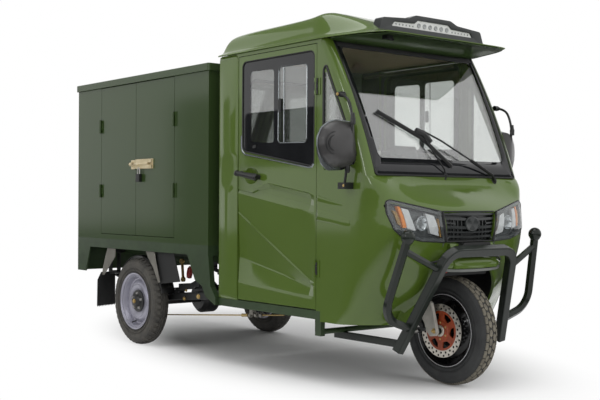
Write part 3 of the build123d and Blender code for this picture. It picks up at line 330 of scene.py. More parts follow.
def add_floor():
    """Pale floor with the shadow, plain white further out, and a dim room past the sweep."""
    material = bpy.data.materials.new("studio_sweep")
    tree = empty_tree(material)
    coords = add_node(tree, "TexCoord").outputs["Object"]
    oval = add_node(tree, "VectorMath", {1: (1 / SWEEP_HALF[0], 1 / SWEEP_HALF[1], 0)}, {0: coords},
        operation="MULTIPLY")
    reach = add_node(tree, "VectorMath", {}, {0: oval}, operation="LENGTH").outputs["Value"]
    fade = add_node(tree, "MapRange", {"From Min": FADE[0], "From Max": FADE[1]}, {"Value": reach},
        interpolation_type="SMOOTHSTEP")
    path = add_node(tree, "LightPath").outputs
    seen = any_of(tree, path["Is Camera Ray"], path["Is Transmission Ray"])
    amount = add_node(tree, "Math", {}, {0: fade, 1: white_rays(tree)}, operation="MULTIPLY")
    matt = add_node(tree, "BsdfDiffuse", {"Color": hex_colour("#f8f8f8")})
    far = add_node(tree, "MapRange", {"From Min": ROOM[0], "From Max": ROOM[1], "To Min": 1.0,
        "To Max": ROOM_FLOOR}, {"Value": reach})
    glow = add_node(tree, "Emission", {}, {"Strength": any_of(tree, far, seen)})
    mix = add_node(tree, "MixShader", {}, {0: amount, 1: matt, 2: glow})
    add_node(tree, "OutputMaterial", links={"Surface": mix})
    bm = bmesh.new()
    bmesh.ops.create_grid(bm, x_segments=1, y_segments=1, size=FLOOR_SIZE / 2)
    floor = new_object("studio_floor", bm, material)
    floor.location = (-0.3, 0.35, 0)
    floor.rotation_euler.z = -0.24


def aimed(place, target):
    """Matrix at a place whose -Z axis looks at a target."""
    aim = Vector(target) - Vector(place)
    return Matrix.Translation(place) @ aim.to_track_quat("-Z", "Y").to_matrix().to_4x4()


def add_softbox(name, place, target, size, watts):
    """Square soft lamp at place that faces target."""
    data = bpy.data.lights.new(name, "AREA")
    data.shape = "SQUARE"
    data.size = size
    data.energy = watts
    lamp = bpy.data.objects.new(name, data)
    lamp.visible_glossy = False
    lamp.matrix_world = aimed(place, target)
    scene.collection.objects.link(lamp)
    return lamp


def add_card(name, place, target, size, level):
    """Flat card, rounded at its corners, that only reflections see."""
    bm = bmesh.new()
    bmesh.ops.create_grid(bm, x_segments=1, y_segments=1, size=0.5)
    bmesh.ops.scale(bm, verts=bm.verts, vec=(size[0], size[1], 1))
    bmesh.ops.bevel(bm, geom=bm.verts[:], offset=0.1 * min(size), segments=6, affect="VERTICES",
        profile=0.5, material=-1)
    material = bpy.data.materials.new(name + "_cloth")
    tree = empty_tree(material)
    glow = add_node(tree, "Emission", {"Strength": level})
    add_node(tree, "OutputMaterial", links={"Surface": glow})
    card = new_object(name, bm, material)
    card.matrix_world = aimed(place, target)
    for ray in ("camera", "diffuse", "transmission", "volume_scatter", "shadow"):
        setattr(card, f"visible_{ray}", False)


add_world()
add_floor()
add_card("studio_ceiling", (-0.6, 0.0, 5.0), (-0.6, 0.0, 0.0), (7.3, 9.2), CEILING_LIGHT)
add_card("studio_flag", (-3.75, -3.0, 0.9), (-3.75, 0, 0.9), (1.1, 1.9), 0.12)
add_card("studio_bench", (-2.6, -3.0, 1.4), (-2.6, 0, 1.4), (1.1, 0.5), 0.05)
add_card("studio_strip", (1.6, -4.6, 2.6), (1.0, -0.4, 1.2), (0.5, 2.6), 7.0)
add_softbox("top_softbox", (0.6, -0.6, 4.2), (0, 0, 0.6), 3.4, 70).visible_glossy = True
add_softbox("front_softbox", (4.6, 0.6, 2.6), (0.6, 0, 0.7), 2.5, 45)
add_softbox("side_softbox", (-0.8, -5.2, 2.4), (0, 0, 0.7), 2.5, 30)
scene.view_settings.view_transform = "Standard"
print("studio ready")

# %% [markdown]
# Every piece below starts in a bmesh, is shaped with bmesh operators, and ends in one function.
# It merges doubles, turns the faces outwards, smooths them up to a set angle, and lets the piece
# ride on its body. Places are given as stations in millimetres ahead of the rear axle, as a
# body shop would measure them, and one function turns a station, a distance to the left and a
# height into a point of the frame.

# %% Piece helpers
rear_low, rear_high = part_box("rear_tyre_right")
MID_STATION = -(rear_low.x + rear_high.x) / 2 / MM
CAB_HALF = 510.0
ROOF_BASE = 1600.0
WELD = 0.00002


def at(station, left, height):
    """Point at a station ahead of the rear axle, a distance left and a height, all in mm."""
    return Vector((station - MID_STATION, left, height)) * MM


def add_piece(name, bm, material, body="vehicle", sharp=35.0, replaces=(), slot=None):
    """Finish a bmesh as a piece of the tricycle; edges over sharp degrees stay hard."""
    bmesh.ops.remove_doubles(bm, verts=bm.verts, dist=WELD)
    bmesh.ops.recalc_face_normals(bm, faces=bm.faces)
    for face in bm.faces:
        face.smooth = True
    for edge in bm.edges:
        edge.smooth = len(edge.link_faces) != 2 or edge.calc_face_angle(0) < math.radians(sharp)
    piece = new_object(name, bm, material)
    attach(piece, body)
    if replaces:
        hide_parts(*replaces)
    return piece


def side_of(sign, points):
    """Points (station, distance out, height) on one side."""
    return [at(station, sign * out, height) for station, out, height in points]


def box_outline(near, far, low, high):
    """Four corners of a rectangle."""
    return (near, low), (far, low), (far, high), (near, high)


def blend(table, value):
    """Straight-line value from a table of (place, value) pairs."""
    for (a, low), (b, high) in zip(table, table[1:]):
        if value <= b:
            return low + (high - low) * max(0.0, (value - a) / (b - a))
    return table[-1][1]


def chain(bm, points, closed=False):
    """Vertices joined in a row; returns the edges."""
    verts = [bm.verts.new(point) for point in points]
    pairs = list(zip(verts, verts[1:] + verts[:1] if closed else verts[1:]))
    return [bm.edges.new(pair) for pair in pairs]


def bridge_rows(bm, rows, closed=False):
    """Skin between neighbouring rows of points."""
    edges = [chain(bm, row, closed) for row in rows]
    for first, second in zip(edges, edges[1:]):
        bmesh.ops.bridge_loops(bm, edges=first + second)


def with_ends(edges):
    """Edges together with their vertices."""
    return list(dict.fromkeys(vert for edge in edges for vert in edge.verts)) + edges


def extruded(bm, face):
    """Extrude a face where it stands and return its new vertices."""
    return verts_in(bmesh.ops.extrude_face_region(bm, geom=[face])["geom"])


def verts_in(items):
    """The vertices among bmesh items."""
    return [item for item in items if isinstance(item, bmesh.types.BMVert)]


def mirror_left(bm):
    """Copy what stands on the right side to the left."""
    bmesh.ops.mirror(bm, geom=bm.verts[:] + bm.edges[:] + bm.faces[:], axis="Y", merge_dist=0.0005)


def finish_with(piece, thickness=0.0, levels=0):
    """Add a wall thickness and smooth subdivision to a piece."""
    if levels:
        smooth = piece.modifiers.new("Subdivision", "SUBSURF")
        smooth.levels = smooth.render_levels = levels
    if thickness:
        wall = piece.modifiers.new("Solidify", "SOLIDIFY")
        wall.thickness = thickness
        wall.offset = -1.0
    return piece


def ease_edges(piece, width, angle=30.0):
    """Round the edges that turn by more than an angle."""
    edge = piece.modifiers.new("Bevel", "BEVEL")
    edge.width = width
    edge.segments = 2
    edge.limit_method = "ANGLE"
    edge.angle_limit = math.radians(angle)
    return piece


def evaluated_mesh(piece):
    """Mesh that a piece's modifiers make."""
    bpy.context.view_layer.update()
    return bpy.data.meshes.new_from_object(
        piece.evaluated_get(bpy.context.evaluated_depsgraph_get()))


print("rear axle is", round(MID_STATION, 1), "mm behind the middle")

# %% [markdown]
# The cab roof is one vacuum-formed plastic shell: a drip flange, a sloped side, a soft shoulder,
# a hump above the pillars, and a visor that thins out over the windshield. A body like this is
# easiest as a loft. Half cross-sections are bridged from tail to tip, mirrored, given a wall and
# subdivided, so that every crease stays as soft as the mould made it.

# %% Roof shell
ROOF_ROWS = (
    (857, (516, 0), (516, 9), (494, 12), (480, 14), (470, 15), (455, 16), (300, 16), (0, 16)),
    (866, (518, 0), (518, 9), (496, 14), (486, 26), (480, 32), (458, 34), (300, 34), (0, 34)),
    (884, (520, 0), (520, 9), (497, 16), (486, 46), (480, 60), (456, 66), (300, 67), (0, 68)),
    (900, (520, 0), (520, 9), (497, 16), (485, 56), (474, 82), (452, 96), (300, 97), (0, 99)),
    (940, (520, 0), (520, 9), (497, 17), (483, 60), (468, 98), (444, 119), (300, 124), (0, 126)),
    (1250, (520, 0), (520, 9), (497, 17), (483, 62), (468, 100), (444, 123), (300, 129), (0, 132)),
    (1540, (520, 0), (520, 9), (497, 17), (483, 64), (467, 104), (441, 126), (300, 131), (0, 134)),
    (1600, (520, 0), (520, 9), (500, 18), (484, 68), (464, 118), (434, 142), (300, 136), (0, 134)),
    (1650, (521, 0), (521, 9), (504, 18), (486, 66), (460, 118), (426, 145), (300, 134), (0, 130)),
    (1720, (518, 0), (518, 8), (503, 16), (484, 50), (452, 94), (412, 124), (300, 119), (0, 116)),
    (1800, (496, 2), (496, 8), (482, 14), (464, 34), (434, 68), (396, 94), (300, 94), (0, 93)),
    (1860, (479, 3), (479, 8), (464, 13), (446, 28), (418, 50), (384, 64), (300, 66), (0, 66)),
    (1912, (463, 4), (463, 9), (448, 13), (430, 17), (404, 24), (370, 31), (300, 32), (0, 33)),
    (1950, (445, 5), (445, 9), (428, 12), (410, 15), (386, 20), (354, 23), (280, 24), (0, 25)),
    (1990, (423, 6), (422, 9), (404, 11), (388, 12), (366, 13), (340, 14), (270, 15), (0, 16)),
    (2012, (404, 6), (402, 9), (386, 10), (370, 11), (352, 11), (332, 12), (260, 12), (0, 13)),
)


def roof_shell():
    """Roof and visor as one smooth skin with a 4 mm wall."""
    bm = bmesh.new()
    bridge_rows(bm, [[at(row[0], -half, ROOF_BASE + rise) for half, rise in row[1:]]
        for row in ROOF_ROWS])
    mirror_left(bm)
    piece = add_piece("roof_shell", bm, cab_paint, replaces=("cab_roof",), slot="shell_green")
    return finish_with(piece, 0.004, 2)


roof = roof_shell()
print("roof shell:", len(roof.data.polygons), "faces before subdivision")

# %% [markdown]
# Under the visor the same plastic turns back to the windshield as a shallow scoop. It wears the
# darker van paint, which is painted shade under the visor. It is a second small loft, so the visor's
# edge stays thin.

# %% Visor underside
SCOOP_ROWS = ((1738, 505, -12), (1775, 492, 14), (1850, 470, 28), (1920, 448, 22), (1975, 418, 10),
    (2004, 396, 7))
SCOOP_SHARE = ((1.0, 0.0), (0.97, 0.35), (0.918, 0.8), (0.84, 1.0), (0.49, 1.06), (0, 1.08))


def visor_underside():
    """Concave skin from the windshield's head to the visor's lip, in the darker paint that is painted
    shade.
    """
    bm = bmesh.new()
    bridge_rows(bm, [[at(station, -half * share, ROOF_BASE + rise * depth)
        for share, depth in SCOOP_SHARE] for station, half, rise in SCOOP_ROWS])
    mirror_left(bm)
    # The darker van paint here is painted shade under the visor.
    return finish_with(add_piece("visor_underside", bm, van_paint_painted_shade), 0.003, 1)


visor_underside()
print("visor underside ready")

# %% [markdown]
# A tyre is a spun section with tread blocks standing on it. The blocks are real meshes, because
# the outline of the tyre shows their steps. One block is shaped, then copied round the axle by
# a spin, which keeps the pitch even.

# %% Tyre helpers
TYRE_RADIUS = 255.0
GROOVE = 4.5
CROWN = ((0, 254.4), (12, 254.3), (20, 253.4), (30, 250.6), (38, 245.5), (44, 238), (48, 226))
SIDEWALL = ((34, 158), (40, 166), (45, 180), (48, 200), (48, 214))
SIDEWALL_RINGS = (174, 188, 192, 196, 218)
BEAD_TO_CROWN = SIDEWALL + tuple((across, radius - GROOVE) for across, radius in CROWN[::-1])
CARCASS = tuple((-across, radius) for across, radius in BEAD_TO_CROWN) + BEAD_TO_CROWN[-2::-1]


def node_centre(name):
    """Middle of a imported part's box."""
    low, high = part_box(name)
    return (low + high) / 2


def spin_about(bm, edges, centre, steps, axis=(0, 1, 0)):
    """Spin edges a full turn round an axle through centre."""
    bmesh.ops.spin(bm, geom=with_ends(edges), cent=centre, axis=axis, angle=2 * math.pi, steps=steps,
        use_duplicate=False, use_merge=True)


def spun_section(bm, centre, section, steps, side=1):
    """Spin a section of (across, radius) points in mm round the lateral axle."""
    spin_about(bm, chain(bm, [centre + Vector((0, side * across, radius)) * MM
        for across, radius in section]), centre, steps)


def tread_block(bm, centre, outline, low, sunk, taper):
    """One block: outline of (across, along) points in mm, its top sunk below the crown."""
    base = [bm.verts.new(centre + Vector((along, across, low)) * MM) for across, along in outline]
    face = bm.faces.new(base)
    verts = extruded(bm, face)
    middle = sum((vert.co for vert in verts), Vector()) / len(verts)
    bmesh.ops.scale(bm, verts=verts, vec=(taper, taper, 1), space=Matrix.Translation(-middle))
    for vert in verts:
        across = abs(vert.co.y - centre.y) / MM
        vert.co.z = centre.z + (blend(CROWN, across) - sunk) * MM
    faces = {face} | {f for vert in verts for f in vert.link_faces}
    found = {edge for f in faces for edge in f.edges}
    return list({v for f in faces for v in f.verts}) + list(found) + list(faces)


def ring_of_blocks(bm, centre, outline, low, count, shift, sunk, taper):
    """Blocks at an even pitch round the tyre, shifted by a share of the pitch."""
    block = tread_block(bm, centre, outline, low, sunk, taper)
    pitch = 2 * math.pi / count
    bmesh.ops.rotate(bm, verts=verts_in(block), cent=centre,
        matrix=Matrix.Rotation(shift * pitch, 3, "Y"))
    bmesh.ops.spin(bm, geom=block, cent=centre, axis=(0, 1, 0), angle=pitch * (count - 1),
        steps=count - 1, use_duplicate=True, use_merge=False)


dusty_tread = grained("dusty_tread_rubber", "#57534a", "#7d786b", 0.85, 0.0015, 0.00012, 0.02)
dusty_casing = grained("dusty_tyre_rubber", "#3b3a38", "#57544e", 0.85, 0.0015, 0.00012, 0.05)


def carcass(name, centre, body, node, material):
    """Smooth casing with raised rings on the sidewalls."""
    bm = bmesh.new()
    spun_section(bm, centre, CARCASS, 96)
    for ring in SIDEWALL_RINGS:
        for side in (-1, 1):
            spun_section(bm, centre, ((side * 45.5, ring - 1.6), (side * 48.6, ring),
                (side * 45.5, ring + 1.6)), 96)
    return add_piece(name, bm, material, body, 30, (node,), "tyre")


def tread(name, centre, body, material, count, rows):
    """Rings of blocks on both halves: outline, foot, shifts by side and for both, sunk, taper."""
    bm = bmesh.new()
    for side in (-1, 1):
        for outline, low, by_side, shift, sunk, taper in rows:
            half = [(side * across, along) for across, along in outline]
            ring_of_blocks(bm, centre, half, low, count, by_side * side + shift, sunk, taper)
    return add_piece(name, bm, material, body, 30)


HEXAGON = ((2.5, -9.5), (11.5, -18), (20.5, -9.5), (20.5, 9.5), (11.5, 18), (2.5, 9.5))
EDGE_BLOCK = ((22, -9), (26, -18), (34, -17), (34, 17), (26, 18), (22, 9))
SHOULDER_BAR = ((36, -3.6), (46.5, -3.2), (46.5, 3.2), (36, 3.6))
RIB = ((2, -17.9), (9, -17.9), (14, -8), (9, 0), (14, 9), (9, 17.9), (2, 17.9))
LUG = ((17, -12), (30, -14), (46, -13), (46, 6), (34, 10), (17, 8))
front_centre = node_centre("front_tyre")
rear_centres = {side: node_centre(f"rear_tyre_{side}") for side in SIDES}
carcass("front_casing", front_centre, "front_wheel", "front_tyre", tyre_rubber)
tread("front_tread", front_centre, "front_wheel", dusty_tread, 40,
    ((HEXAGON, 245, 0.25, 0, 0, 0.96), (EDGE_BLOCK, 236, 0.25, 0.5, 0, 0.96)))
tread("front_shoulder", front_centre, "front_wheel", tyre_rubber, 120,
    ((SHOULDER_BAR, 224, 0, 0, 1.5, 1),))
for side, centre in rear_centres.items():
    carcass(f"rear_casing_{side}", centre, f"rear_wheel_{side}", f"rear_tyre_{side}", dusty_casing)
    tread(f"rear_tread_{side}", centre, f"rear_wheel_{side}", dusty_casing, 44,
        ((RIB, 244, 0.25, 0, 0, 1), (LUG, 222, 0, 0.5, 0, 0.98)))
print("tyres at", [round(v, 3) for v in front_centre])

# %% [markdown]
# The cab door is a sheet-steel pressing. Its lower half has a ledge, a raised ridge, a long
# panel that falls inward and a lower crease, and all of them die out into a flat front border.
# Upright sections that share the same creases are bridged from the rear edge to the front one,
# so each crease is one continuous edge. The window is then cut by a Boolean whose result is
# kept and whose cutter is thrown away.

# %% Cut and corner helpers


def carve(piece, cutter):
    """Cut a bmesh out of a piece, keep the result and drop the cutter."""
    bmesh.ops.recalc_face_normals(cutter, faces=cutter.faces)
    tool = new_object("cutter", cutter)
    cut = piece.modifiers.new("Cut", "BOOLEAN")
    cut.operation = "DIFFERENCE"
    cut.solver = "EXACT"
    cut.object = tool
    result = evaluated_mesh(piece)
    piece.modifiers.remove(cut)
    piece.data = result
    bpy.data.meshes.remove(tool.data)
    return piece


def rounded_outline(corners, radius, steps=5):
    """Corners of a flat outline, each rounded by a small arc."""
    bm = bmesh.new()
    bm.faces.new([bm.verts.new(Vector(corner).to_3d()) for corner in corners])
    bmesh.ops.bevel(bm, geom=bm.verts[:], offset=radius, offset_type="OFFSET", affect="VERTICES",
        segments=steps, profile=0.5, material=-1)
    bm.faces.ensure_lookup_table()
    points = [(vert.co.x, vert.co.y) for vert in bm.faces[0].verts]
    bm.free()
    return points


def rounded_box(near, far, low, high, radius):
    """Outline of a rectangle with rounded corners."""
    return rounded_outline(box_outline(near, far, low, high), radius)


def prism(bm, points, direction):
    """Solid prism: a flat outline of points pushed along a direction."""
    verts = extruded(bm, bm.faces.new([bm.verts.new(point) for point in points]))
    bmesh.ops.translate(bm, verts=verts, vec=direction)


def side_prism(bm, outline, near, far, side=-1):
    """Prism of an outline in stations and heights between two distances from the middle."""
    prism(bm, [at(station, side * near, height) for station, height in outline],
        Vector((0, side * (far - near), 0)) * MM)


def side_plate(name, material, outline, near, far, side, body="vehicle", **facts):
    """Piece that is one prism of (station, height) points on one side."""
    bm = bmesh.new()
    side_prism(bm, outline, near, far, side)
    return add_piece(name, bm, material, body, **facts)


def paired_plates(name, material, *plates, **facts):
    """Piece of the same prisms on both sides: (outline, near, far)."""
    bm = bmesh.new()
    for side in (-1, 1):
        for outline, near, far in plates:
            side_prism(bm, outline, near, far, side)
    return add_piece(name, bm, material, **facts)


def facing_prism(bm, outline, back, front):
    """Prism of an outline in (left, height) between two stations."""
    prism(bm, [at(back, left, height) for left, height in outline], Vector((front - back, 0, 0)) * MM)


def facing_plate(name, material, outline, back, front, **facts):
    """Piece that is one prism of (left, height) points."""
    bm = bmesh.new()
    facing_prism(bm, outline, back, front)
    return add_piece(name, bm, material, **facts)


print("cutting helpers ready")

# %% Cab doors
DOOR_REAR = 1037.0
DOOR_FRONT = 1660.0
DOOR_GAP = 3.0
DOOR_WALL = 30.0
SILL_TOP = 343.0
DOOR_TOP = 1583.0
WINDOW = ((1071, 1103), (1071, 1551), (1640, 1551), (1640, 1010))
FIELD_FRONT, BORDER = 1603, 1642  # where the pressed field ends and the flat border starts
DOOR_STATIONS = (DOOR_REAR + DOOR_GAP, 1090, 1152, 1200, 1286, 1400, 1500, FIELD_FRONT, BORDER,
    DOOR_FRONT - DOOR_GAP)

# Heights of the pressed lines, and below them their depths, by station.
RIDGE = ((DOOR_REAR, 886), (1578, 800), (DOOR_FRONT, 790))
CREASE = ((1032, 563), (1613, 453), (DOOR_FRONT, 446))
DIAGONAL = ((DOOR_REAR, 790), (1606, 474), (DOOR_FRONT, 466))
FOOT_LINE = ((1025, 448), (1620, 408), (DOOR_FRONT, 406))
LEDGE = ((DOOR_REAR, 912), (1152, 897), (1286, 939), (FIELD_FRONT, 890), (DOOR_FRONT, 870))
LEDGE_DEPTH = ((DOOR_REAR, 4), (1152, 9), (1286, 18), (FIELD_FRONT, 18), (BORDER, 0))
CREASE_DEPTH = ((DOOR_REAR, 8), (1090, 24), (1400, 21), (FIELD_FRONT, 16), (BORDER, 0))
DIAGONAL_DEPTH = ((DOOR_REAR, 1), (1090, 4), (1400, 8), (FIELD_FRONT, 12), (BORDER, 0))
RIDGE_OUT = ((DOOR_REAR, 2), (FIELD_FRONT, 2), (BORDER, 0))


def door_profile(station):
    """Outer profile of the door from sill to head: (height, depth) pairs."""
    ridge, crease = blend(RIDGE, station), blend(CREASE, station)
    diagonal, ledge = blend(DIAGONAL, station), blend(LEDGE, station)
    hollow, fall = blend(LEDGE_DEPTH, station), blend(CREASE_DEPTH, station)
    bend, proud = blend(DIAGONAL_DEPTH, station), -blend(RIDGE_OUT, station)
    strip = ridge + min(36, (ledge - ridge) * 0.6)
    mid = (strip + ledge) / 2
    between = (diagonal + crease) / 2
    return ((SILL_TOP + 5, 1), (blend(FOOT_LINE, station) - 20, 0.5),
        (blend(FOOT_LINE, station), 2.5 if fall else 0), (crease - 8, fall - 1), (crease + 6, fall),
        (between, bend + (fall - bend) * 0.55), (diagonal - 5, bend + min(1, bend)),
        (diagonal - 1, bend - min(3, bend)), (diagonal + 6, bend + min(1, bend)),
        ((ridge + diagonal) / 2, (bend + proud) * 0.38), (ridge - 5, proud * 0.6), (ridge + 3, proud),
        (ridge + 7, proud * 0.6), (strip, hollow * 0.72), (mid, hollow), (ledge - 6, hollow * 0.45),
        (ledge, 0), (ledge + 8, 0), (DOOR_TOP - DOOR_GAP, 0))


def cab_door(side):
    """Pressed door: skin, inner face, window opening and handle dish."""
    sign, body = SIGN[side], f"cab_door_{side}"
    bm = bmesh.new()
    back = CAB_HALF - DOOR_WALL
    rows = []
    for station in DOOR_STATIONS:
        profile = door_profile(station)
        outer = [at(station, sign * (CAB_HALF - depth), height) for height, depth in profile]
        inner = [at(station, sign * back, height) for height in (DOOR_TOP - DOOR_GAP, SILL_TOP + 5)]
        rows.append(outer + inner)
    bridge_rows(bm, rows, closed=True)
    bmesh.ops.holes_fill(bm, edges=bm.edges[:], sides=0)
    piece = add_piece(f"cab_door_pressing_{side}", bm, cab_paint, body, 12, (body,), "body_green")
    cutter = bmesh.new()
    side_prism(cutter, rounded_outline(WINDOW, 30), back - 5, CAB_HALF + 5, sign)
    carve(piece, cutter)
    dish = bmesh.new()
    bmesh.ops.create_uvsphere(dish, u_segments=32, v_segments=16, radius=0.062)
    bmesh.ops.scale(dish, verts=dish.verts, vec=(1.25, 0.6, 0.9))
    bmesh.ops.translate(dish, verts=dish.verts, vec=at(1150, sign * (CAB_HALF + 24), 976))
    carve(piece, dish)
    ease_edges(piece, 0.0012, 40)
    piece.modifiers.new("Flat faces", "WEIGHTED_NORMAL").keep_sharp = True
    return piece


for side in SIDES:
    door = cab_door(side)
    print(door.name, "has", len(door.data.polygons), "faces")

# %% [markdown]
# The lamps and the grille follow the curve of the nose. It is easiest to model them flat, as if
# the nose were a plane, and to wrap them on afterwards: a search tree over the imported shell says
# how far forward the nose stands at each place. Flat faces are first cut into a fine grid, so
# that they can bend.

# %% Wrap on the nose
from mathutils.bvhtree import BVHTree


def surface_of(*names):
    """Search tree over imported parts."""
    bm = bmesh.new()
    for name in names:
        bm.from_mesh(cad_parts[name].data)
    tree = BVHTree.FromBMesh(bm)
    bm.free()
    return tree


nose = surface_of("cab_front_shell", "headlamps")
NOSE_FRONT = 2150.0


def nose_x(left, height):
    """Forward place of the nose in metres, or of the bulge across the grille opening."""
    side = math.copysign(min(abs(left), 0.458), left)
    hit = None
    while hit is None and abs(side) > 0.2:
        hit = nose.ray_cast(Vector((3.0, side, height)), Vector((-1, 0, 0)))[0]
        side *= 0.99
    across = min(1.0, abs(left) / 0.19)
    bulge = 0.012 * (1 - across * across) * max(0.0, 1 - abs(height - 0.74) / 0.12)
    grille = at(NOSE_FRONT, 0, 0).x - 0.009 * across * across
    return (hit.x if hit else grille) + bulge


def wrap_on_nose(bm, cell=0.014, place=nose_x):
    """Cut flat geometry into cells and lay it on the nose, or on another surface."""
    for axis in (1, 2):
        low = min(vert.co[axis] for vert in bm.verts)
        high = max(vert.co[axis] for vert in bm.verts)
        normal = Vector((0, axis == 1, axis == 2))
        for i in range(1, int((high - low) / cell) + 1):
            bmesh.ops.bisect_plane(bm, geom=bm.verts[:] + bm.edges[:] + bm.faces[:],
                plane_co=normal * (low + cell * i), plane_no=normal)
    for vert in bm.verts:
        vert.co.x += place(vert.co.y, vert.co.z)


def front_face(bm, outline, back=0.0):
    """Flat face for the nose from (distance right, height) points in mm."""
    return bm.faces.new([bm.verts.new(Vector((-back, -out, height)) * MM) for out, height in outline])


def step_in(bm, face, inset, back):
    """Inset a face and push it back, in mm."""
    bmesh.ops.inset_individual(bm, faces=[face], thickness=inset * MM, use_even_offset=True)
    bmesh.ops.translate(bm, verts=face.verts[:], vec=Vector((-back, 0, 0)) * MM)


def front_prism(bm, outline, back, thickness):
    """Flat prism for the nose: outline, setback and thickness in mm."""
    verts = extruded(bm, front_face(bm, outline, back))
    bmesh.ops.translate(bm, verts=verts, vec=Vector((-thickness, 0, 0)) * MM)


def on_nose(left, height, proud=0.0):
    """Point standing proud of the nose, all in mm."""
    return Vector((nose_x(left * MM, height * MM) + proud * MM, left * MM, height * MM))


def tube(bm, points, radius, closed=False, sides=8, smooth=False):
    """Round tube along points, added to a bmesh."""
    curve = bpy.data.curves.new("line", "CURVE")
    curve.dimensions = "3D"
    curve.bevel_depth = radius * MM
    curve.bevel_resolution = max(0, sides // 4 - 1)
    curve.use_fill_caps = not closed
    spline = curve.splines.new("NURBS" if smooth else "POLY")
    spline.points.add(len(points) - 1)
    for node, point in zip(spline.points, points):
        node.co = (*point, 1)
    spline.use_cyclic_u = closed
    if smooth:
        spline.order_u = 3
        spline.use_endpoint_u = not closed
    line = bpy.data.objects.new("line", curve)
    scene.collection.objects.link(line)
    mesh = evaluated_mesh(line)
    bm.from_mesh(mesh)
    bpy.data.objects.remove(line)
    bpy.data.curves.remove(curve)
    bpy.data.meshes.remove(mesh)


def turned(bm, place, axis, profile, steps=32):
    """Spin a profile of (along, radius) points in mm round an axis through a place."""
    along = Vector(axis).normalized()
    side = along.orthogonal().normalized()
    edges = chain(bm, [place + (along * step + side * radius) * MM for step, radius in profile])
    spin_about(bm, edges, place, steps, along)


def turned_piece(name, material, body, place, axis, profile, steps=32):
    """Piece that is one turned profile."""
    bm = bmesh.new()
    turned(bm, place, axis, profile, steps)
    return add_piece(name, bm, material, body)


def bolt(bm, place, axis, size=8.0, height=6.0, washer=True):
    """Hexagon head with a chamfer, on a washer."""
    if washer:
        turned(bm, place, axis, ((0, 0), (0, size * 1.05), (1.2, size * 1.05), (1.2, 0)), 20)
    turned(bm, place, axis, ((0, size * 0.86), (height * 0.8, size * 0.86), (height, size * 0.7),
        (height, 0)), 6)


print("nose stands at", round(nose_x(-0.3, 0.75), 3))

# %% [markdown]
# Each headlamp is a real box: a dark bezel that steps in from the edge down to its floor, amber
# reflectors, frosted light guides, an amber turn bar, a chrome projector with a glass lens, and a
# clear cover that follows the nose. A black gasket runs round it.

# %% Headlamp finishes
lamp_bezel = grained("grey_lamp_bezel", "#4a4d4e", "#555859", 0.3, 0.001, 0.00002)
frosted_guide = grained("frosted_light_guide", "#d9d8d8", "#c9c9ca", 0.35, 0.0012, 0.00004, 0.02)
amber_plastic = grained("amber_acrylic", "#f08a10", "#d97306", 0.2, 0.002, 0.0001, 0.01)
amber_reflector = grained("amber_reflector", "#a8803c", "#8f6a2e", 0.25, 0.002, 0.0001, 0.01)
chrome = grained("vacuum_chrome", "#d4d6d8", "#c2c5c8", 0.1, 0.002, 0.00001, 0.02, 1.0)
satin_chrome = grained("satin_reflector", "#8f9496", "#7d8284", 0.25, 0.002, 0.00002, 0.03, 1.0)
print("lamp finishes ready")

# %% Headlamps
LAMP_SEAM = ((181, 806), (436, 858), (456, 850), (456, 801), (432, 728), (402, 700), (300, 677),
    (157, 669))
LAMP_DEPTH = 26.0
lamp_outline = rounded_outline(LAMP_SEAM, 9, 4)


def lamp_piece(name, material, build, sharp=35.0, **facts):
    """Build one flat lamp part, wrap it on the nose and mirror it."""
    bm = bmesh.new()
    build(bm)
    wrap_on_nose(bm)
    bmesh.ops.remove_doubles(bm, verts=bm.verts, dist=WELD)
    bmesh.ops.recalc_face_normals(bm, faces=bm.faces)
    mirror_left(bm)
    return add_piece(name, bm, material, sharp=sharp, **facts)


def lamp_plates(name, material, *plates):
    """Lamp piece made of flat plates: (outline, setback, thickness)."""
    def build(bm):
        for outline, back, thickness in plates:
            front_prism(bm, outline, back, thickness)

    return lamp_piece(name, material, build)


def bezel(bm):
    """Rim that steps in, walls and floor."""
    face = front_face(bm, lamp_outline, 0.5)
    for inset, back in ((0.5, -2.5), (9, 1), (3, 3), (4, 0), (1.5, LAMP_DEPTH - 6)):
        step_in(bm, face, inset, back)


LIGHT_GUIDES = (((384, 823), (350, 815), (345, 782), (324, 722), (368, 734)),
    ((268, 799), (224, 788), (190, 697), (246, 710), (254, 735)))
TURN_BAR = ((404, 830), (390, 829), (371, 737), (388, 735))
INNER_REFLECTOR = ((203, 776), (190, 768), (173, 690), (184, 694))
OUTER_REFLECTOR = ((424, 812), (408, 806), (393, 744), (408, 752))
PROJECTOR = (291.0, 755.0)


def projectors():
    """Chrome bowl, ring and glass lens of both lamps."""
    bowl, glass = bmesh.new(), bmesh.new()
    place = on_nose(-PROJECTOR[0], PROJECTOR[1], -12)
    turned(bowl, place, (1, 0, 0), ((-14, 0), (-13, 12), (-6, 22), (0, 29), (3, 31), (3, 33),
        (-12, 34)), 40)
    for rib in (15, 19, 24):
        turned(bowl, place, (1, 0, 0), ((rib / 3 - 13, rib - 1), (rib / 3 - 11, rib),
            (rib / 3 - 11.5, rib + 1)), 40)
    turned(glass, place, (1, 0, 0), ((-12, 17), (-8, 17), (-4, 15), (0, 11), (2, 6), (3, 0)), 32)
    for bm in (bowl, glass):
        mirror_left(bm)
    add_piece("lamp_projector_bowls", bowl, chrome)
    add_piece("lamp_projector_lenses", glass, lamp_clear)


def gasket():
    """Black rubber line round both lamps, and round the grille between them."""
    bm = bmesh.new()
    tube(bm, [on_nose(-out, height, 0.5) for out, height in lamp_outline], 3.4, closed=True)
    mirror_left(bm)
    for half, height in ((178, 807), (156, 671)):
        tube(bm, [on_nose(left, height, 0.5) for left in range(-half, half + 1, 26)], 3.4)
    for side in (-1, 1):
        tube(bm, [on_nose(side * half, height, 2) for half, height in ((182, 805), (170, 738),
            (158, 671))], 7)
    return add_piece("lamp_gasket", bm, seal_rubber)


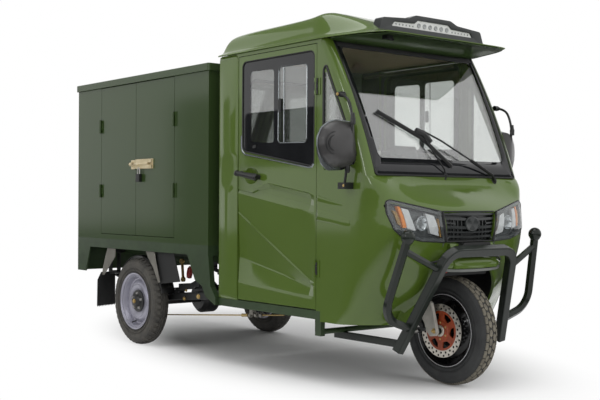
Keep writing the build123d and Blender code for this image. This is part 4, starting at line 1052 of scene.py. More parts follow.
lamp_piece("lamp_bezels", lamp_bezel, bezel, replaces=("headlamps",), slot="lamp")
lamp_plates("lamp_covers", lamp_clear, (lamp_outline, -4.0, 2.2))
lamp_plates("lamp_light_guides", frosted_guide, *((rounded_outline(guide, 3, 2), 8, 16)
    for guide in LIGHT_GUIDES))
lamp_plates("lamp_turn_bars", amber_plastic, (rounded_outline(TURN_BAR, 2.5, 2), 7, 17))
lamp_plates("lamp_reflectors", amber_reflector, (INNER_REFLECTOR, 9, 12), (OUTER_REFLECTOR, 11, 10))
projectors()
gasket()
print("headlamps ready")

# %% [markdown]
# The grille is one black ABS moulding. Curved slats of different lengths step inwards, short
# posts join them, and a blank oval plate sits a little above the middle. The frame's own floor
# closes it behind.

# %% Grille
GRILLE = ((-183, 806), (183, 806), (158, 669), (-158, 669))
SLATS = (  # height, half width, inner end, thickness
    (797, 174, 0, 20), (771, 168, 36, 13), (752, 164, 104, 8), (733, 160, 38, 14),
    (711, 156, 0, 9), (690, 152, 0, 12))
POSTS = (60, 84, 108)
BLANK_PLATE = (750.0, 36.0)  # height, radius
black_grille = grained("black_grille_abs", "#262929", "#2f3232", 0.3, 0.0012, 0.00004)


def grille():
    """Frame with its floor, slats, posts and blank plate."""
    bm = bmesh.new()
    face = front_face(bm, GRILLE, -4.0)
    step_in(bm, face, 15, 1.5)
    step_in(bm, face, 2.5, 30)
    for height, half, inner, thick in SLATS:
        for side in (-1, 1):
            outline = [(side * inner, height + thick / 2), (side * half, height + thick / 2 + 3),
                (side * (half - 3), height - thick / 2 + 5), (side * inner, height - thick / 2)]
            front_prism(bm, outline, 6, 15)
            ledge = [(side * inner, height + thick / 2 - 2), (side * half * 0.8, height + 2),
                (side * half * 0.8, height - 1), (side * inner, height - thick / 2 + 2)]
            front_prism(bm, ledge, 3.5, 6)
    for post in POSTS:
        for side in (-1, 1):
            front_prism(bm, box_outline(side * post - 2.5, side * post + 2.5, 779, 680), 10, 10)
    wrap_on_nose(bm, 0.02)
    piece = add_piece("grille_slats", bm, black_grille, sharp=25, replaces=("grille",),
        slot="grey_plastic")
    plate = bmesh.new()
    height, radius = BLANK_PLATE
    place = on_nose(0, height)
    turned(plate, place, (1, 0, 0), ((-16, radius - 1), (-2, radius - 1), (0, radius - 3),
        (0.6, radius - 5), (-0.8, radius - 7), (0.2, 0)), 48)
    bmesh.ops.scale(plate, verts=plate.verts, vec=(1, 1.3, 1), space=Matrix.Translation(-place))
    add_piece("grille_blank_plate", plate, black_grille)
    return piece


print("grille:", len(grille().data.polygons), "faces")

# %% [markdown]
# The front rim is a pressed dish in gloss black with one thin silver line at its lip. In front of
# it turns a drilled steel rotor on an orange carrier. The rotor is one ring with its holes cut by
# a single Boolean, because round holes through a thin plate show against the dark dish.

# %% Front wheel finishes
rotor_steel = grained("ground_rotor_steel", "#cdc8bf", "#b9b4aa", 0.32, 0.0008, 0.00003, 0.02, 0.85)
orange_carrier = grained("orange_painted_carrier", "#a4431a", "#7e3414", 0.4, 0.001, 0.00003, 0.03)
silver_paint = grained("silver_line_paint", "#d8d8da", "#c8c8cb", 0.3, 0.002, 0.00001)
fork_silver = grained("silver_grey_fork_paint", "#b9b6ae", "#a5a299", 0.35, 0.002, 0.00002, 0.05)
brass = grained("yellow_passivated_nut", "#c6ad74", "#a98f58", 0.35, 0.001, 0.00003, 0.01, 0.6)
print("wheel finishes ready")

# %% Front rim
FRONT_DISH = ((46.5, 166.5), (47, 163), (44, 158), (37, 153), (28, 150), (14, 136), (4, 130), (2, 122),
    (10, 104), (20, 84), (24, 60), (26, 40), (26, 20))


def spun_shell(name, centre, profile, material, body, side, wall=0.003, steps=72, **facts):
    """Thin wheel part spun from (outward, radius) points."""
    bm = bmesh.new()
    spun_section(bm, centre, profile, steps, side)
    return finish_with(add_piece(name, bm, material, body, **facts), wall)


spun_shell("front_rim_dish", front_centre, FRONT_DISH, black_rim, "front_wheel", -1,
    replaces=("front_rim",), slot="rim_black")
spun_shell("front_rim_far_dish", front_centre, FRONT_DISH, black_rim, "front_wheel", 1)
spun_shell("front_rim_line", front_centre, ((46.8, 165.6), (48.2, 166.4), (48.0, 168.0), (46.4, 168.4)),
    silver_paint, "front_wheel", -1, 0.0006)
print("front rim ready")

# %% Brake rotor
ROTOR_FACE = 66.0
ROTOR_HOLES = 22


def on_circle(centre, radius, share, left=0.0):
    """Point in mm on a circle round a lateral axle, a share of a turn from straight ahead."""
    angle = 2 * math.pi * share
    return centre + Vector((math.cos(angle) * radius, left, math.sin(angle) * radius)) * MM


def rotor_ring():
    """Drilled rotor ring."""
    bm = bmesh.new()
    spun_section(bm, front_centre, ((ROTOR_FACE - 4, 90), (ROTOR_FACE - 4, 123.5), (ROTOR_FACE, 123.5),
        (ROTOR_FACE, 90), (ROTOR_FACE - 4, 90)), 72, -1)
    piece = add_piece("rotor_ring", bm, rotor_steel, "front_wheel", replaces=("front_brake_disc",),
        slot="steel")
    drill = bmesh.new()
    turn = Matrix.Rotation(math.pi / 2, 4, "X")
    for i in range(ROTOR_HOLES):
        for radius, shift in ((115.5, 0.0), (101.5, 0.5)):
            hole = on_circle(front_centre, radius, (i + shift) / ROTOR_HOLES, -64)
            bmesh.ops.create_cone(drill, cap_ends=True, segments=12, radius1=0.0056, radius2=0.0056,
                depth=0.012, matrix=Matrix.Translation(hole) @ turn)
    return carve(piece, drill)


def rotor_carrier():
    """Orange spider with six windows."""
    bm = bmesh.new()
    spun_section(bm, front_centre, ((ROTOR_FACE - 5, 22), (ROTOR_FACE - 5, 92), (ROTOR_FACE + 0.6, 92),
        (ROTOR_FACE + 1.6, 84), (ROTOR_FACE + 1.6, 48), (ROTOR_FACE + 6, 44), (ROTOR_FACE + 6, 22),
        (ROTOR_FACE - 5, 22)), 72, -1)
    piece = add_piece("rotor_carrier", bm, orange_carrier, "front_wheel")
    cutter = bmesh.new()
    for i in range(6):
        turn = Matrix.Rotation(math.pi / 3 * i, 4, "Y")
        outline = rounded_outline(((50, -14), (76, -31), (83, -6), (80, 24), (60, 14)), 5, 3)
        points = [front_centre + turn @ (Vector((radial, -75, along)) * MM)
            for radial, along in outline]
        prism(cutter, points, Vector((0, 40, 0)) * MM)
    return carve(piece, cutter)


def rotor_bolts():
    """Bolts of the carrier and the collar round the axle."""
    bolts = bmesh.new()
    for i in range(6):
        place = on_circle(front_centre, 38, (i + 0.5) / 6, -ROTOR_FACE - 5)
        bolt(bolts, place, (0, -1, 0), 5, 4)
    add_piece("rotor_bolts", bolts, brass, "front_wheel")
    turned_piece("hub_collar", rotor_steel, "front_wheel", front_centre, (0, -1, 0),
        ((58, 22), (70, 27), (76, 27), (78, 25), (78, 16), (76, 14), (60, 13), (60, 0)))


rotor_ring()
rotor_carrier()
rotor_bolts()
print("rotor ready")

# %% [markdown]
# The fork's lower leg is a box-section shoe with a bright front edge. The axle ends in a yellow
# nut, and a black caliper with a bare tip sits behind the rotor. These parts steer with the fork.

# %% Fork leg and caliper
LEG = ((1908, 430), (1976, 418), (1984, 389), (1998, 379), (2010, 332), (2034, 250), (2028, 232),
    (1985, 226), (1962, 250), (1952, 280), (1926, 318))
LEG_EDGE = ((1988, 389), (1999, 381), (2036, 248), (2029, 240))


def copied_part(name):
    """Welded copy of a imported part's mesh."""
    bm = bmesh.new()
    bm.from_mesh(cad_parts[name].data)
    bmesh.ops.remove_doubles(bm, verts=bm.verts, dist=WELD)
    return bm


def block(bm, low, high):
    """Box between two corners given as (station, left, height)."""
    corners = box_outline(low[0], high[0], low[1], high[1])
    prism(bm, [at(station, left, low[2]) for station, left in corners],
        Vector((0, 0, high[2] - low[2])) * MM)


def fork_parts():
    """The fork's upper part, and a flat lower leg with a raised front edge on each side."""
    upper = add_piece("fork_upper", copied_part("front_fork"), fork_silver, "steering", 30,
        ("front_fork",), "steel")
    cutter = bmesh.new()
    block(cutter, (1600, -200, 150), (2300, 200, 425))
    carve(upper, cutter)
    shoes = paired_plates("fork_leg_shoes", fork_silver, (rounded_outline(LEG, 6, 3), 84, 93),
        (LEG_EDGE, 82, 99), body="steering")
    ease_edges(shoes, 0.0015)
    turned_piece("front_axle", black_steel, "steering", Vector((front_centre.x, 0, front_centre.z)),
        (0, -1, 0), ((-92, 0), (-92, 8), (82, 8), (82, 0)), 20)


def axle_nuts():
    """Yellow nuts on both leg shoes."""
    bm = bmesh.new()
    for side in (-1, 1):
        place = at(2012, side * 93, 254)
        bolt(bm, place, (0, side, 0), 12, 8)
        turned(bm, place, (0, side, 0), ((8, 6), (14, 6), (15, 5), (15, 0)), 16)
    return add_piece("front_axle_nuts", bm, brass, "steering")


def caliper():
    """Two-piston caliper, its bracket and the bare slide pin."""
    bm = bmesh.new()
    side_prism(bm, rounded_outline(((1886, 290), (1925, 300), (1952, 285), (1956, 262), (1935, 244),
        (1905, 240), (1888, 255)), 7, 3), 54, 82)
    side_prism(bm, rounded_outline(((1900, 286), (1932, 290), (1946, 268), (1930, 256)), 5, 3), 82, 94)
    piece = add_piece("caliper_body", bm, black_steel, "steering")
    pin = bmesh.new()
    turned(pin, at(1905, -80, 246), (-0.86, 0, -0.35), ((0, 9), (18, 10), (24, 7), (40, 6), (44, 3),
        (45, 0)), 20)
    turned(pin, at(1908, -84, 268), (-0.5, -1, 0), ((0, 9), (8, 9), (9, 7), (9, 0)), 20)
    add_piece("caliper_pins", pin, bright_steel, "steering")
    return piece


fork_parts()
axle_nuts()
caliper()
print("fork leg, nuts and caliper ready")

# %% [markdown]
# The rear wheels are pressed steel sprayed lilac-silver. Two rolled rings run round the rim, and
# the dish carries a dark hub with five nuts and a yellow axle nut. A spun profile gives all of it
# except the nuts and the valve.

# %% Rear wheels
REAR_DISH = ((46.5, 167), (47.5, 164), (46, 160), (41, 156), (37, 155), (36, 152), (38, 149), (37, 145),
    (30, 142), (16, 138), (8, 134), (5, 128), (9, 120), (20, 112), (26, 103), (27, 96), (23, 88),
    (18, 80), (17, 66), (17, 30))
HUB = ((17, 66), (24, 64), (27, 60), (28, 52), (28, 34), (36, 30), (44, 26), (46, 22), (46, 0))


def rear_wheel(side):
    """Rim, hub, nuts and valve of one rear wheel."""
    sign, centre, body = SIGN[side], rear_centres[side], f"rear_wheel_{side}"
    spun_shell(f"rear_rim_dish_{side}", centre, REAR_DISH, silver_rim, body, sign,
        replaces=(f"rear_rim_{side}",), slot="rim_silver")
    spun_shell(f"rear_rim_inner_{side}", centre, ((46.5, 167), (44, 158), (20, 150), (-8, 136)),
        silver_rim, body, -sign)
    spun_shell(f"rear_hub_{side}", centre, HUB, black_steel, body, sign, 0.002, 40)
    nuts = bmesh.new()
    for i in range(5):
        bolt(nuts, on_circle(centre, 45, (i + 0.2) / 5, sign * 27), (0, sign, 0), 9, 9)
    add_piece(f"rear_wheel_nuts_{side}", nuts, bright_steel, body)
    cap = bmesh.new()
    bolt(cap, centre + Vector((0, sign * 46, 0)) * MM, (0, sign, 0), 13, 8)
    add_piece(f"rear_axle_nut_{side}", cap, brass, body)
    foot = centre + Vector((-0.02, sign * 0.02, -0.119))
    turned_piece(f"tyre_valve_{side}", seal_rubber, body, foot, (0, sign, -0.25),
        ((0, 5), (4, 5), (6, 3.5), (22, 3.2), (24, 4), (30, 4), (31, 0)), 16)


for side in SIDES:
    rear_wheel(side)
print("rear wheels ready")

# %% [markdown]
# The light bar is a moulded housing with a stepped top. A pale reflector tray with six large and
# twelve small diodes lies in a recess of its face, under the same stepped outline.

# %% Light bar
BAR_FACE = 1912.0
BAR_OUTLINE = ((-358, 1624), (-332, 1691), (-164, 1703), (-118, 1722), (118, 1722), (164, 1703),
    (332, 1691), (358, 1624))
LENS_OUTLINE = ((-276, 1657), (-256, 1678), (-126, 1682), (-104, 1699), (104, 1699), (126, 1682),
    (256, 1678), (276, 1657))
lens_white = grained("pale_reflector_plastic", "#d9dad8", "#cfd0ce", 0.3, 0.002, 0.00002)
led_grey = grained("diode_lens_ring", "#929495", "#a2a4a5", 0.3, 0.001, 0.00001)


def light_bar():
    """Housing, reflector tray and diodes."""
    housing = facing_plate("light_bar_housing", black_grille, rounded_outline(BAR_OUTLINE, 9, 3),
        BAR_FACE - 54, BAR_FACE, replaces=("light_bar",), slot="grey_plastic")
    recess = bmesh.new()
    facing_prism(recess, rounded_outline(LENS_OUTLINE, 4, 2), BAR_FACE - 10, BAR_FACE + 5)
    ease_edges(carve(housing, recess), 0.003)
    facing_plate("light_bar_tray", lens_white, rounded_outline(LENS_OUTLINE, 4, 2), BAR_FACE - 14,
        BAR_FACE - 6)
    diodes = bmesh.new()
    for i in range(6):
        turned(diodes, at(BAR_FACE - 6, -95 + 38 * i, 1676), (1, 0, 0),
            ((0, 11), (3, 11), (3, 9), (0.5, 5), (0.5, 0)), 20)
    for i in range(6):
        for side in (-1, 1):
            turned(diodes, at(BAR_FACE - 6, side * (134 + 22 * i), 1669), (1, 0, 0),
                ((0, 4), (2, 4), (3, 2.5), (3, 0)), 12)
    add_piece("light_bar_diodes", diodes, led_grey)
    plug = bmesh.new()
    block(plug, (1835, -262, 1606), (1868, -226, 1634))
    tube(plug, [at(1852, -240, 1612), at(1855, -222, 1600), at(1852, -208, 1606)], 5, smooth=True)
    add_piece("light_bar_plug", plug, seal_rubber)


light_bar()
print("light bar ready")

# %% [markdown]
# The windshield sits in a black rubber seal that is wider at the top. Behind the glass runs a
# printed black band, deepest at the foot. Both are flat outlines laid on the curve of the glass.

# %% Windshield seal and band
printed_glass, tree, shader, coords = new_material("black_printed_glass", "#17181a", 0.3,
    Coat_Weight=1.0, Coat_Roughness=0.03, Specular_IOR_Level=0.0)
vary_colour(tree, shader, noise(tree, coords, 0.12), "#141517", "#1d1e20")
screen = surface_of("windshield")
SCREEN_LOW, SCREEN_HIGH, SCREEN_HALF = 0.989, 1.568, 0.455


def screen_x(left, height):
    """Forward place of the windshield in metres, carried on past its edges."""
    side = math.copysign(min(abs(left), SCREEN_HALF), left)

    def seen(level):
        return screen.ray_cast(Vector((3.0, side, level)), Vector((-1, 0, 0)))[0].x

    inside = min(max(height, SCREEN_LOW), SCREEN_HIGH)
    step = -0.02 if inside > 1.2 else 0.02
    slope = (seen(inside + step) - seen(inside)) / step
    body = nose.ray_cast(Vector((3.0, side, height)), Vector((-1, 0, 0)))[0]
    carried = seen(inside) + slope * (height - inside)
    return max(carried, body.x) if body else carried


def ring_on_screen(name, material, outer, inner, proud, wall):
    """Flat ring between two outlines of (left, height), laid on the windshield."""
    bm = bmesh.new()
    loops = [[bm.verts.new(Vector((proud, left, height)) * MM)
        for left, height in rounded_outline(*outline, 4)] for outline in (outer, inner)]
    count = len(loops[0])
    for i in range(count):
        j = (i + 1) % count
        bm.faces.new((loops[0][i], loops[0][j], loops[1][j], loops[1][i]))
    wrap_on_nose(bm, 0.04, screen_x)
    return finish_with(add_piece(name, bm, material, sharp=50), wall)


def box_corners(half, low, high, half_top=None):
    """Corners of an upright outline."""
    top = half if half_top is None else half_top
    return (-half, low), (half, low), (top, high), (-top, high)


ring_on_screen("windshield_seal", seal_rubber, (box_corners(472, 966, 1620), 14),
    (box_corners(463, 974, 1566), 10), 5.0, 0.005)
ring_on_screen("windshield_band", printed_glass, (box_corners(467, 968, 1570), 10),
    (box_corners(424, 1046, 1562, 440), 26), 3.6, 0.0006)
print("windshield seal and band ready")

# %% [markdown]
# One long wiper arm crosses the glass from the left, with a thin parallel link. Both end in a
# knuckle that holds the blade. A washer nozzle stands on the cowl beside the main spindle.

# %% Wiper


def on_screen(left, height, proud):
    """Point standing proud of the windshield, in mm."""
    return Vector((screen_x(left * MM, height * MM) + proud * MM, left * MM, height * MM))


def wiper():
    """Arm, link, knuckle, blade and nozzle."""
    bm = bmesh.new()
    foot = at(2024, 313, 948)
    tube(bm, [foot, on_screen(285, 978, 26), on_screen(160, 1048, 26)], 8)
    tube(bm, [on_screen(160, 1048, 26), on_screen(-20, 1138, 30), on_screen(-118, 1180, 24)], 4.5)
    tube(bm, [at(2014, -22, 975), on_screen(-36, 1002, 20), on_screen(-112, 1140, 22)], 4)
    turned(bm, at(2008, 313, 930), (0.5, 0, 1), ((0, 16), (26, 14), (36, 10), (38, 0)), 24)
    turned(bm, at(2002, -22, 958), (0.5, 0, 1), ((0, 13), (22, 11), (28, 8), (29, 0)), 24)
    tube(bm, [on_screen(-158, 1180, 22), on_screen(-112, 1164, 24), on_screen(-84, 1126, 22)], 14)
    tube(bm, [on_screen(-362, 1262, 12), on_screen(-125, 1150, 14), on_screen(30, 1018, 12)], 7)
    tube(bm, [on_screen(-366, 1256, 4), on_screen(-125, 1142, 5), on_screen(34, 1010, 4)], 4)
    turned(bm, at(2012, 250, 908), (0.7, 0, 0.6), ((0, 15), (16, 15), (22, 10), (22, 0)), 20)
    return add_piece("wiper", bm, black_plastic)


wiper()
print("wiper ready")

# %% [markdown]
# Below the grille the nose ends in a pouting lip over the wheel. A black line marks its joint
# with the nose, a grey return closes it below, and a rubber flap hangs behind it. The lip is a
# loft across the nose: the same five-point section, pulled back and down towards the sides.

# %% Chin
CHIN_ROWS = ((-236, 2128, 574, 556), (-200, 2156, 586, 553), (-150, 2178, 596, 550),
    (-90, 2188, 600, 548), (0, 2190, 601, 547), (90, 2188, 600, 548), (150, 2178, 596, 550),
    (200, 2156, 586, 553), (236, 2128, 574, 556))
chin_grey = grained("grey_lip_return", "#5d605c", "#6a6d69", 0.45, 0.002, 0.00002)


def chin():
    """Green lip, black joint line, grey return and flap."""
    lip = bmesh.new()
    bridge_rows(lip, [[at(front - 30, left, top + 6), at(front - 9, left, top + 1),
        at(front, left, top - 10), at(front + 2, left, (top + low) / 2), at(front - 2, left, low + 4),
        at(front - 7, left, low)] for left, front, top, low in CHIN_ROWS])
    finish_with(add_piece("nose_lip", lip, cab_paint, sharp=60), 0.003, 1)
    line = bmesh.new()
    tube(line, [at(front - 3, left, top + 5) for left, front, top, low in CHIN_ROWS], 4.5, smooth=True)
    add_piece("nose_lip_joint", line, seal_rubber)
    base = bmesh.new()
    bridge_rows(base, [[at(front - 7, left, low + 1), at(front - 3, left, low - 1),
        at(front - 10, left, low - 13), at(front - 60, left, low - 12)]
        for left, front, top, low in CHIN_ROWS[1:-1]])
    finish_with(add_piece("nose_lip_return", base, chin_grey, sharp=50), 0.003)
    facing_plate("nose_flap", seal_rubber, ((-150, 548), (150, 548), (140, 516), (-140, 516)), 2116,
        2119)
    mount = bmesh.new()
    facing_prism(mount, ((-96, 636), (100, 636), (90, 667), (-88, 667)), 2140, 2188)
    for side in (-1, 1):
        facing_prism(mount, ((side * 150, 640), (side * 200, 560), (side * 178, 548),
            (side * 118, 632)), 2100, 2112)
    add_piece("bull_bar_mount", mount, black_steel)
    studs = bmesh.new()
    for side in (-1, 1):
        for left, height in ((124, 600), (166, 566), (196, 652)):
            bolt(studs, at(2113, side * left, height), (1, 0, 0), 10, 7)
    add_piece("bull_bar_studs", studs, bright_steel)
    mark = bmesh.new()
    block(mark, (2112, -176, 530), (2126, -128, 544))
    add_piece("nose_flap_clip", mark, clip_red)


clip_red = grained("red_plastic_clip", "#9b2a24", "#7e231e", 0.4, 0.001, 0.00002)
chin()
print("chin ready")

# %% [markdown]
# Each mirror has a domed dark shell with a round dimple. A bright edge shows behind it where the
# mirror's own frame stands out. A bent rod carries it between a mount on the door pillar and a
# block on the cowl.

# %% Mirrors
SHELL = ((640, 1196), (604, 1207), (508, 1203), (504, 1142), (490, 1062), (492, 1026), (548, 1000),
    (612, 998), (650, 1014), (680, 1048), (696, 1090), (696, 1128), (676, 1170))
FRAME = ((643, 1200), (605, 1211), (505, 1206), (500, 1142), (486, 1062), (488, 1020), (556, 988),
    (640, 984), (676, 1010), (696, 1052), (702, 1092), (701, 1130), (679, 1174))
MIRROR_ROD = ((1851, 1329), (1900, 1320), (1930, 1268), (1942, 1200), (1926, 1105), (1905, 1000),
    (1890, 925))
LEFT_TURN = 34.0
shell_grey = grained("mirror_shell_plastic", "#363535", "#403f3f", 0.36, 0.0012, 0.00004)


def domed(bm, outline, start, steps):
    """Face at a station that steps forward as it shrinks: (scale, forward in mm)."""
    face = bm.faces.new([bm.verts.new(at(start, -out, height)) for out, height in outline])
    for size, forward in steps:
        bmesh.ops.inset_individual(bm, faces=[face], thickness=0.0)
        middle = face.calc_center_median()
        bmesh.ops.scale(bm, verts=face.verts[:], vec=(1, size, size), space=Matrix.Translation(-middle))
        bmesh.ops.translate(bm, verts=face.verts[:], vec=Vector((forward, 0, 0)) * MM)


def mirror_piece(name, bm, material, turn=0.0, **facts):
    """Mirror the right side's geometry, turn the left one on its rod, and add the piece."""
    bmesh.ops.recalc_face_normals(bm, faces=bm.faces)
    mirror_left(bm)
    bmesh.ops.rotate(bm, verts=[vert for vert in bm.verts if vert.co.y > 0], cent=at(1926, 541, 0),
        matrix=Matrix.Rotation(math.radians(turn), 3, "Z"))
    return add_piece(name, bm, material, sharp=40, **facts)


def mirrors():
    """Shell, dimple, bright frame, rod, mounts and bolts."""
    shell = bmesh.new()
    domed(shell, rounded_outline(SHELL, 8, 4), 1893, ((0.995, 10), (0.97, 13), (0.92, 11), (0.84, 9),
        (0.75, 5), (0.6, 2)))
    domed(shell, rounded_outline(SHELL, 10, 4), 1893, ((0.97, -2),))
    mirror_piece("mirror_shells", shell, shell_grey, LEFT_TURN, replaces=("mirrors",),
        slot="black_plastic")
    dimple = bmesh.new()
    for profile in ((9, 0), (6.5, 20), (8.5, 30), (11, 33), (10, 36)), ((6, 44), (9.5, 48), (6, 52)):
        turned(dimple, at(1930, -640, 1104), (1, 0, 0), profile, 40)
    mirror_piece("mirror_dimples", dimple, black_plastic, LEFT_TURN)
    frame_ring = bmesh.new()
    domed(frame_ring, rounded_outline(FRAME, 10, 4), 1886, ((1.0, 6), (0.97, 1)))
    domed(frame_ring, rounded_outline(FRAME, 10, 4), 1886, ((0.96, 0), (0.99, 2)))
    mirror_piece("mirror_frames", frame_ring, satin_chrome, LEFT_TURN)
    rod = bmesh.new()
    tube(rod, [at(station, -541, height) for station, height in MIRROR_ROD], 6, smooth=True, sides=12)
    turned(rod, at(1944, -541, 1188), (0, 0, 1), ((0, 11), (26, 12), (34, 9), (52, 7), (52, 0)), 20)
    turned(rod, at(1909, -541, 990), (0, 0, 1), ((-14, 8), (-4, 12), (28, 12), (32, 9)), 20)
    block(rod, (1866, -560, 905), (1914, -500, 934))
    turned(rod, at(1851, -520, 1329), (0, -1, 0), ((-8, 13), (14, 13), (28, 9), (30, 0)), 20)
    mirror_piece("mirror_rods", rod, black_plastic)
    bolts = bmesh.new()
    bolt(bolts, at(1851, -550, 1329), (0, -1, 0), 7, 6)
    bolt(bolts, at(1905, -560, 920), (0, -1, 0), 6, 4)
    mirror_piece("mirror_bolts", bolts, brass)


mirrors()
print("mirrors ready")

# %% [markdown]
# Door windows are flush glass with a printed dark band that leaves two clear panes. The front
# pane slides and has a bright edge bead and a finger pull. A rubber section grips the glass, and
# a bright strip runs along its foot.

# %% Door windows
REAR_PANE = ((1133, 1146), (1328, 1134), (1328, 1494), (1133, 1499))
FRONT_PANE = ((1362, 1132), (1582, 1126), (1582, 1498), (1366, 1500))
SLIDING_EDGE = ((1405, 1494), (1408, 1134))
WINDOW_STRIP = ((1066, 1180), (1066, 1120), (1074, 1100), (1096, 1084), (1604, 1008), (1626, 1010),
    (1640, 1026))
PANE_FACE = CAB_HALF - 4.5


def side_tube(bm, side, depth, outline, radius, closed=True):
    """Tube along an outline of (station, height) on one side."""
    tube(bm, [at(station, side * depth, height) for station, height in outline], radius, closed)


def door_window(side):
    """Pane, band, beads, pull, rubber and foot strip of one door."""
    sign, body = SIGN[side], f"cab_door_{side}"
    outline = rounded_outline(WINDOW, 29)
    side_plate(f"door_window_pane_{side}", window_glass, outline, PANE_FACE - 4, PANE_FACE, sign, body,
        replaces=(f"cab_door_glass_{side}",), slot="glass")
    band = side_plate(f"door_window_band_{side}", printed_glass, outline, PANE_FACE + 0.2,
        PANE_FACE + 0.8, sign, body)
    cutter = bmesh.new()
    for clear in (REAR_PANE, FRONT_PANE):
        side_prism(cutter, rounded_outline(clear, 20), PANE_FACE - 5.5, PANE_FACE + 4.5, sign)
    carve(band, cutter)
    bead = bmesh.new()
    side_tube(bead, sign, PANE_FACE + 0.5, rounded_outline(FRONT_PANE, 20), 2.4)
    side_tube(bead, sign, PANE_FACE + 0.5, SLIDING_EDGE, 2.4, False)
    add_piece(f"sliding_pane_bead_{side}", bead, satin_chrome, body)
    rubber = bmesh.new()
    side_tube(rubber, sign, PANE_FACE + 1.5, rounded_outline(WINDOW, 30), 5)
    add_piece(f"door_window_rubber_{side}", rubber, seal_rubber, body)
    strip = bmesh.new()
    side_tube(strip, sign, CAB_HALF, WINDOW_STRIP, 5, False)
    add_piece(f"door_window_strip_{side}", strip, satin_chrome, body)
    pull = bmesh.new()
    side_prism(pull, rounded_box(1370, 1390, 1282, 1346, 7), PANE_FACE + 0.5, PANE_FACE + 7.5, sign)
    side_prism(pull, rounded_outline(((1160, 1112), (1186, 1116), (1184, 1130), (1160, 1126)), 4),
        PANE_FACE + 0.5, PANE_FACE + 5.5, sign)
    add_piece(f"sliding_pane_pull_{side}", pull, black_plastic, body)


for side in SIDES:
    door_window(side)
print("door windows ready")

# %% Handles and hinges


def door_handle(side):
    """Barrel grip with round ends over a dished plate."""
    sign, body = SIGN[side], f"cab_door_{side}"
    bm = bmesh.new()
    start, end = at(1058, sign * 536, 990), at(1232, sign * 536, 965)
    turned(bm, start, end - start, ((-8, 0), (-8, 11), (-2, 15), (8, 15), (10, 12.5), (60, 13),
        (150, 17), (168, 17), (175, 12), (176, 0)), 28)
    for station, height in ((1072, 988), (1214, 968)):
        turned(bm, at(station, sign * 500, height), (0, sign, 0), ((0, 13), (30, 11), (30, 0)), 20)
    add_piece(f"door_handle_{side}", bm, black_plastic, body, replaces=(f"cab_door_handle_{side}",),
        slot="black_plastic")


def hinge(bm, place, low, high, radius):
    """Three-knuckle barrel of an upright hinge."""
    third = (high - low) / 3
    for i in range(3):
        turned(bm, at(place[0], place[1], low + third * i + 1), (0, 0, 1),
            ((0, 0), (0, radius - 1), (1, radius), (third - 3, radius), (third - 2, radius - 1),
            (third - 2, 0)), 16)


def cab_hinges():
    """Door hinges on the front pillars."""
    bm = bmesh.new()
    for low, high in ((1343, 1420), (508, 568)):
        hinge(bm, (1664, -512), low, high, 8)
    bmesh.ops.recalc_face_normals(bm, faces=bm.faces)
    mirror_left(bm)
    return add_piece("cab_hinges", bm, black_steel)


for side in SIDES:
    door_handle(side)
cab_hinges()
print("handles and hinges ready")

# %% [markdown]
# Under the bed everything is black or bare zinc. A rolled guard covers each rear tyre and is held
# by two twisted zinc stays. A splash panel stands in front of the tyre and a rubber flap with a
# saw-tooth foot hangs behind it. Flat outlines with a little thickness are enough for all of it.

# %% Rear guards, stays and flaps
GUARD_RADIUS = 270.0
SPLASH_PANEL = ((206, 553), (404, 552), (470, 398), (264, 374))
STAY_TAB = ((-415, 386), (-402, 404), (-300, 415), (-306, 400))
REAR_STAY = ((-333, 555), (-231, 555), (-236, 507), (-374, 386), (-402, 384), (-386, 440))
FRONT_STAY = ((118, 555), (216, 553), (226, 515), (277, 383), (256, 380), (200, 466), (144, 516))
FLAP = ((-548, 204), (-546, 356), (-520, 404), (-424, 404), (-424, 204))
zinc_sheet = grained("dull_zinc_sheet", "#77746d", "#8d8a82", 0.45, 0.002, 0.00003, 0.08, 0.55)


def guards():
    """Rolled guards, splash panels, stays and toothed flaps on both sides."""
    bm = bmesh.new()
    arc = [(-GUARD_RADIUS * math.cos(math.radians(a)),
        TYRE_RADIUS + GUARD_RADIUS * math.sin(math.radians(a))) for a in range(14, 167, 8)]
    bridge_rows(bm, [[at(x, -400, z) for x, z in arc], [at(x, -484, z) for x, z in arc],
        [at(x * 0.99, -489, TYRE_RADIUS + (z - TYRE_RADIUS) * 0.99) for x, z in arc]])
    mirror_left(bm)
    guard = add_piece("rear_guards", bm, black_plastic, replaces=("mudguards",), slot="black_plastic",
        sharp=50)
    finish_with(guard, 0.003)
    paired_plates("splash_panels", seal_rubber, (SPLASH_PANEL, 494, 497), (STAY_TAB, 420, 470))
    ease_edges(paired_plates("guard_stays", zinc_sheet, (REAR_STAY, 512, 516), (FRONT_STAY, 506, 510)),
        0.0015)
    flaps = bmesh.new()
    for side in (-1, 1):
        teeth = []
        for i in range(13):
            left = -424 - i * 124 / 12
            teeth += [(left, 204 - i * 0.5), (left - 5, 195 - i * 0.5)]
        outline = [(-side * out, height) for out, height in (*FLAP[1:4], *teeth[:-1], FLAP[0])]
        facing_prism(flaps, outline, -402, -398)
    add_piece("mud_flaps", flaps, seal_rubber)


guards()
print("rear guards ready")

# %% [markdown]
# Each rear spring is a stack of black leaves on the axle with a bolted eye at its front hanger. A
# yellow shock link and a red bump stop stand on it, and a thin brake rod runs forward to a clamp.

# %% Springs, links and brake rod
SPRING = ((150, 262), (150, 292), (330, 322), (520, 336), (620, 352), (700, 362), (742, 352),
    (752, 338), (742, 322), (690, 316), (560, 300), (330, 282))
LEAF_CLAMP = ((300, 335), (460, 352), (520, 396), (480, 404), (420, 382), (300, 372))
LOWEST_LEAF = ((60, 300), (300, 330), (300, 318), (60, 284))
LINK_FOOT, LINK_TOP = (318, 380, 397), (306, 380, 502)


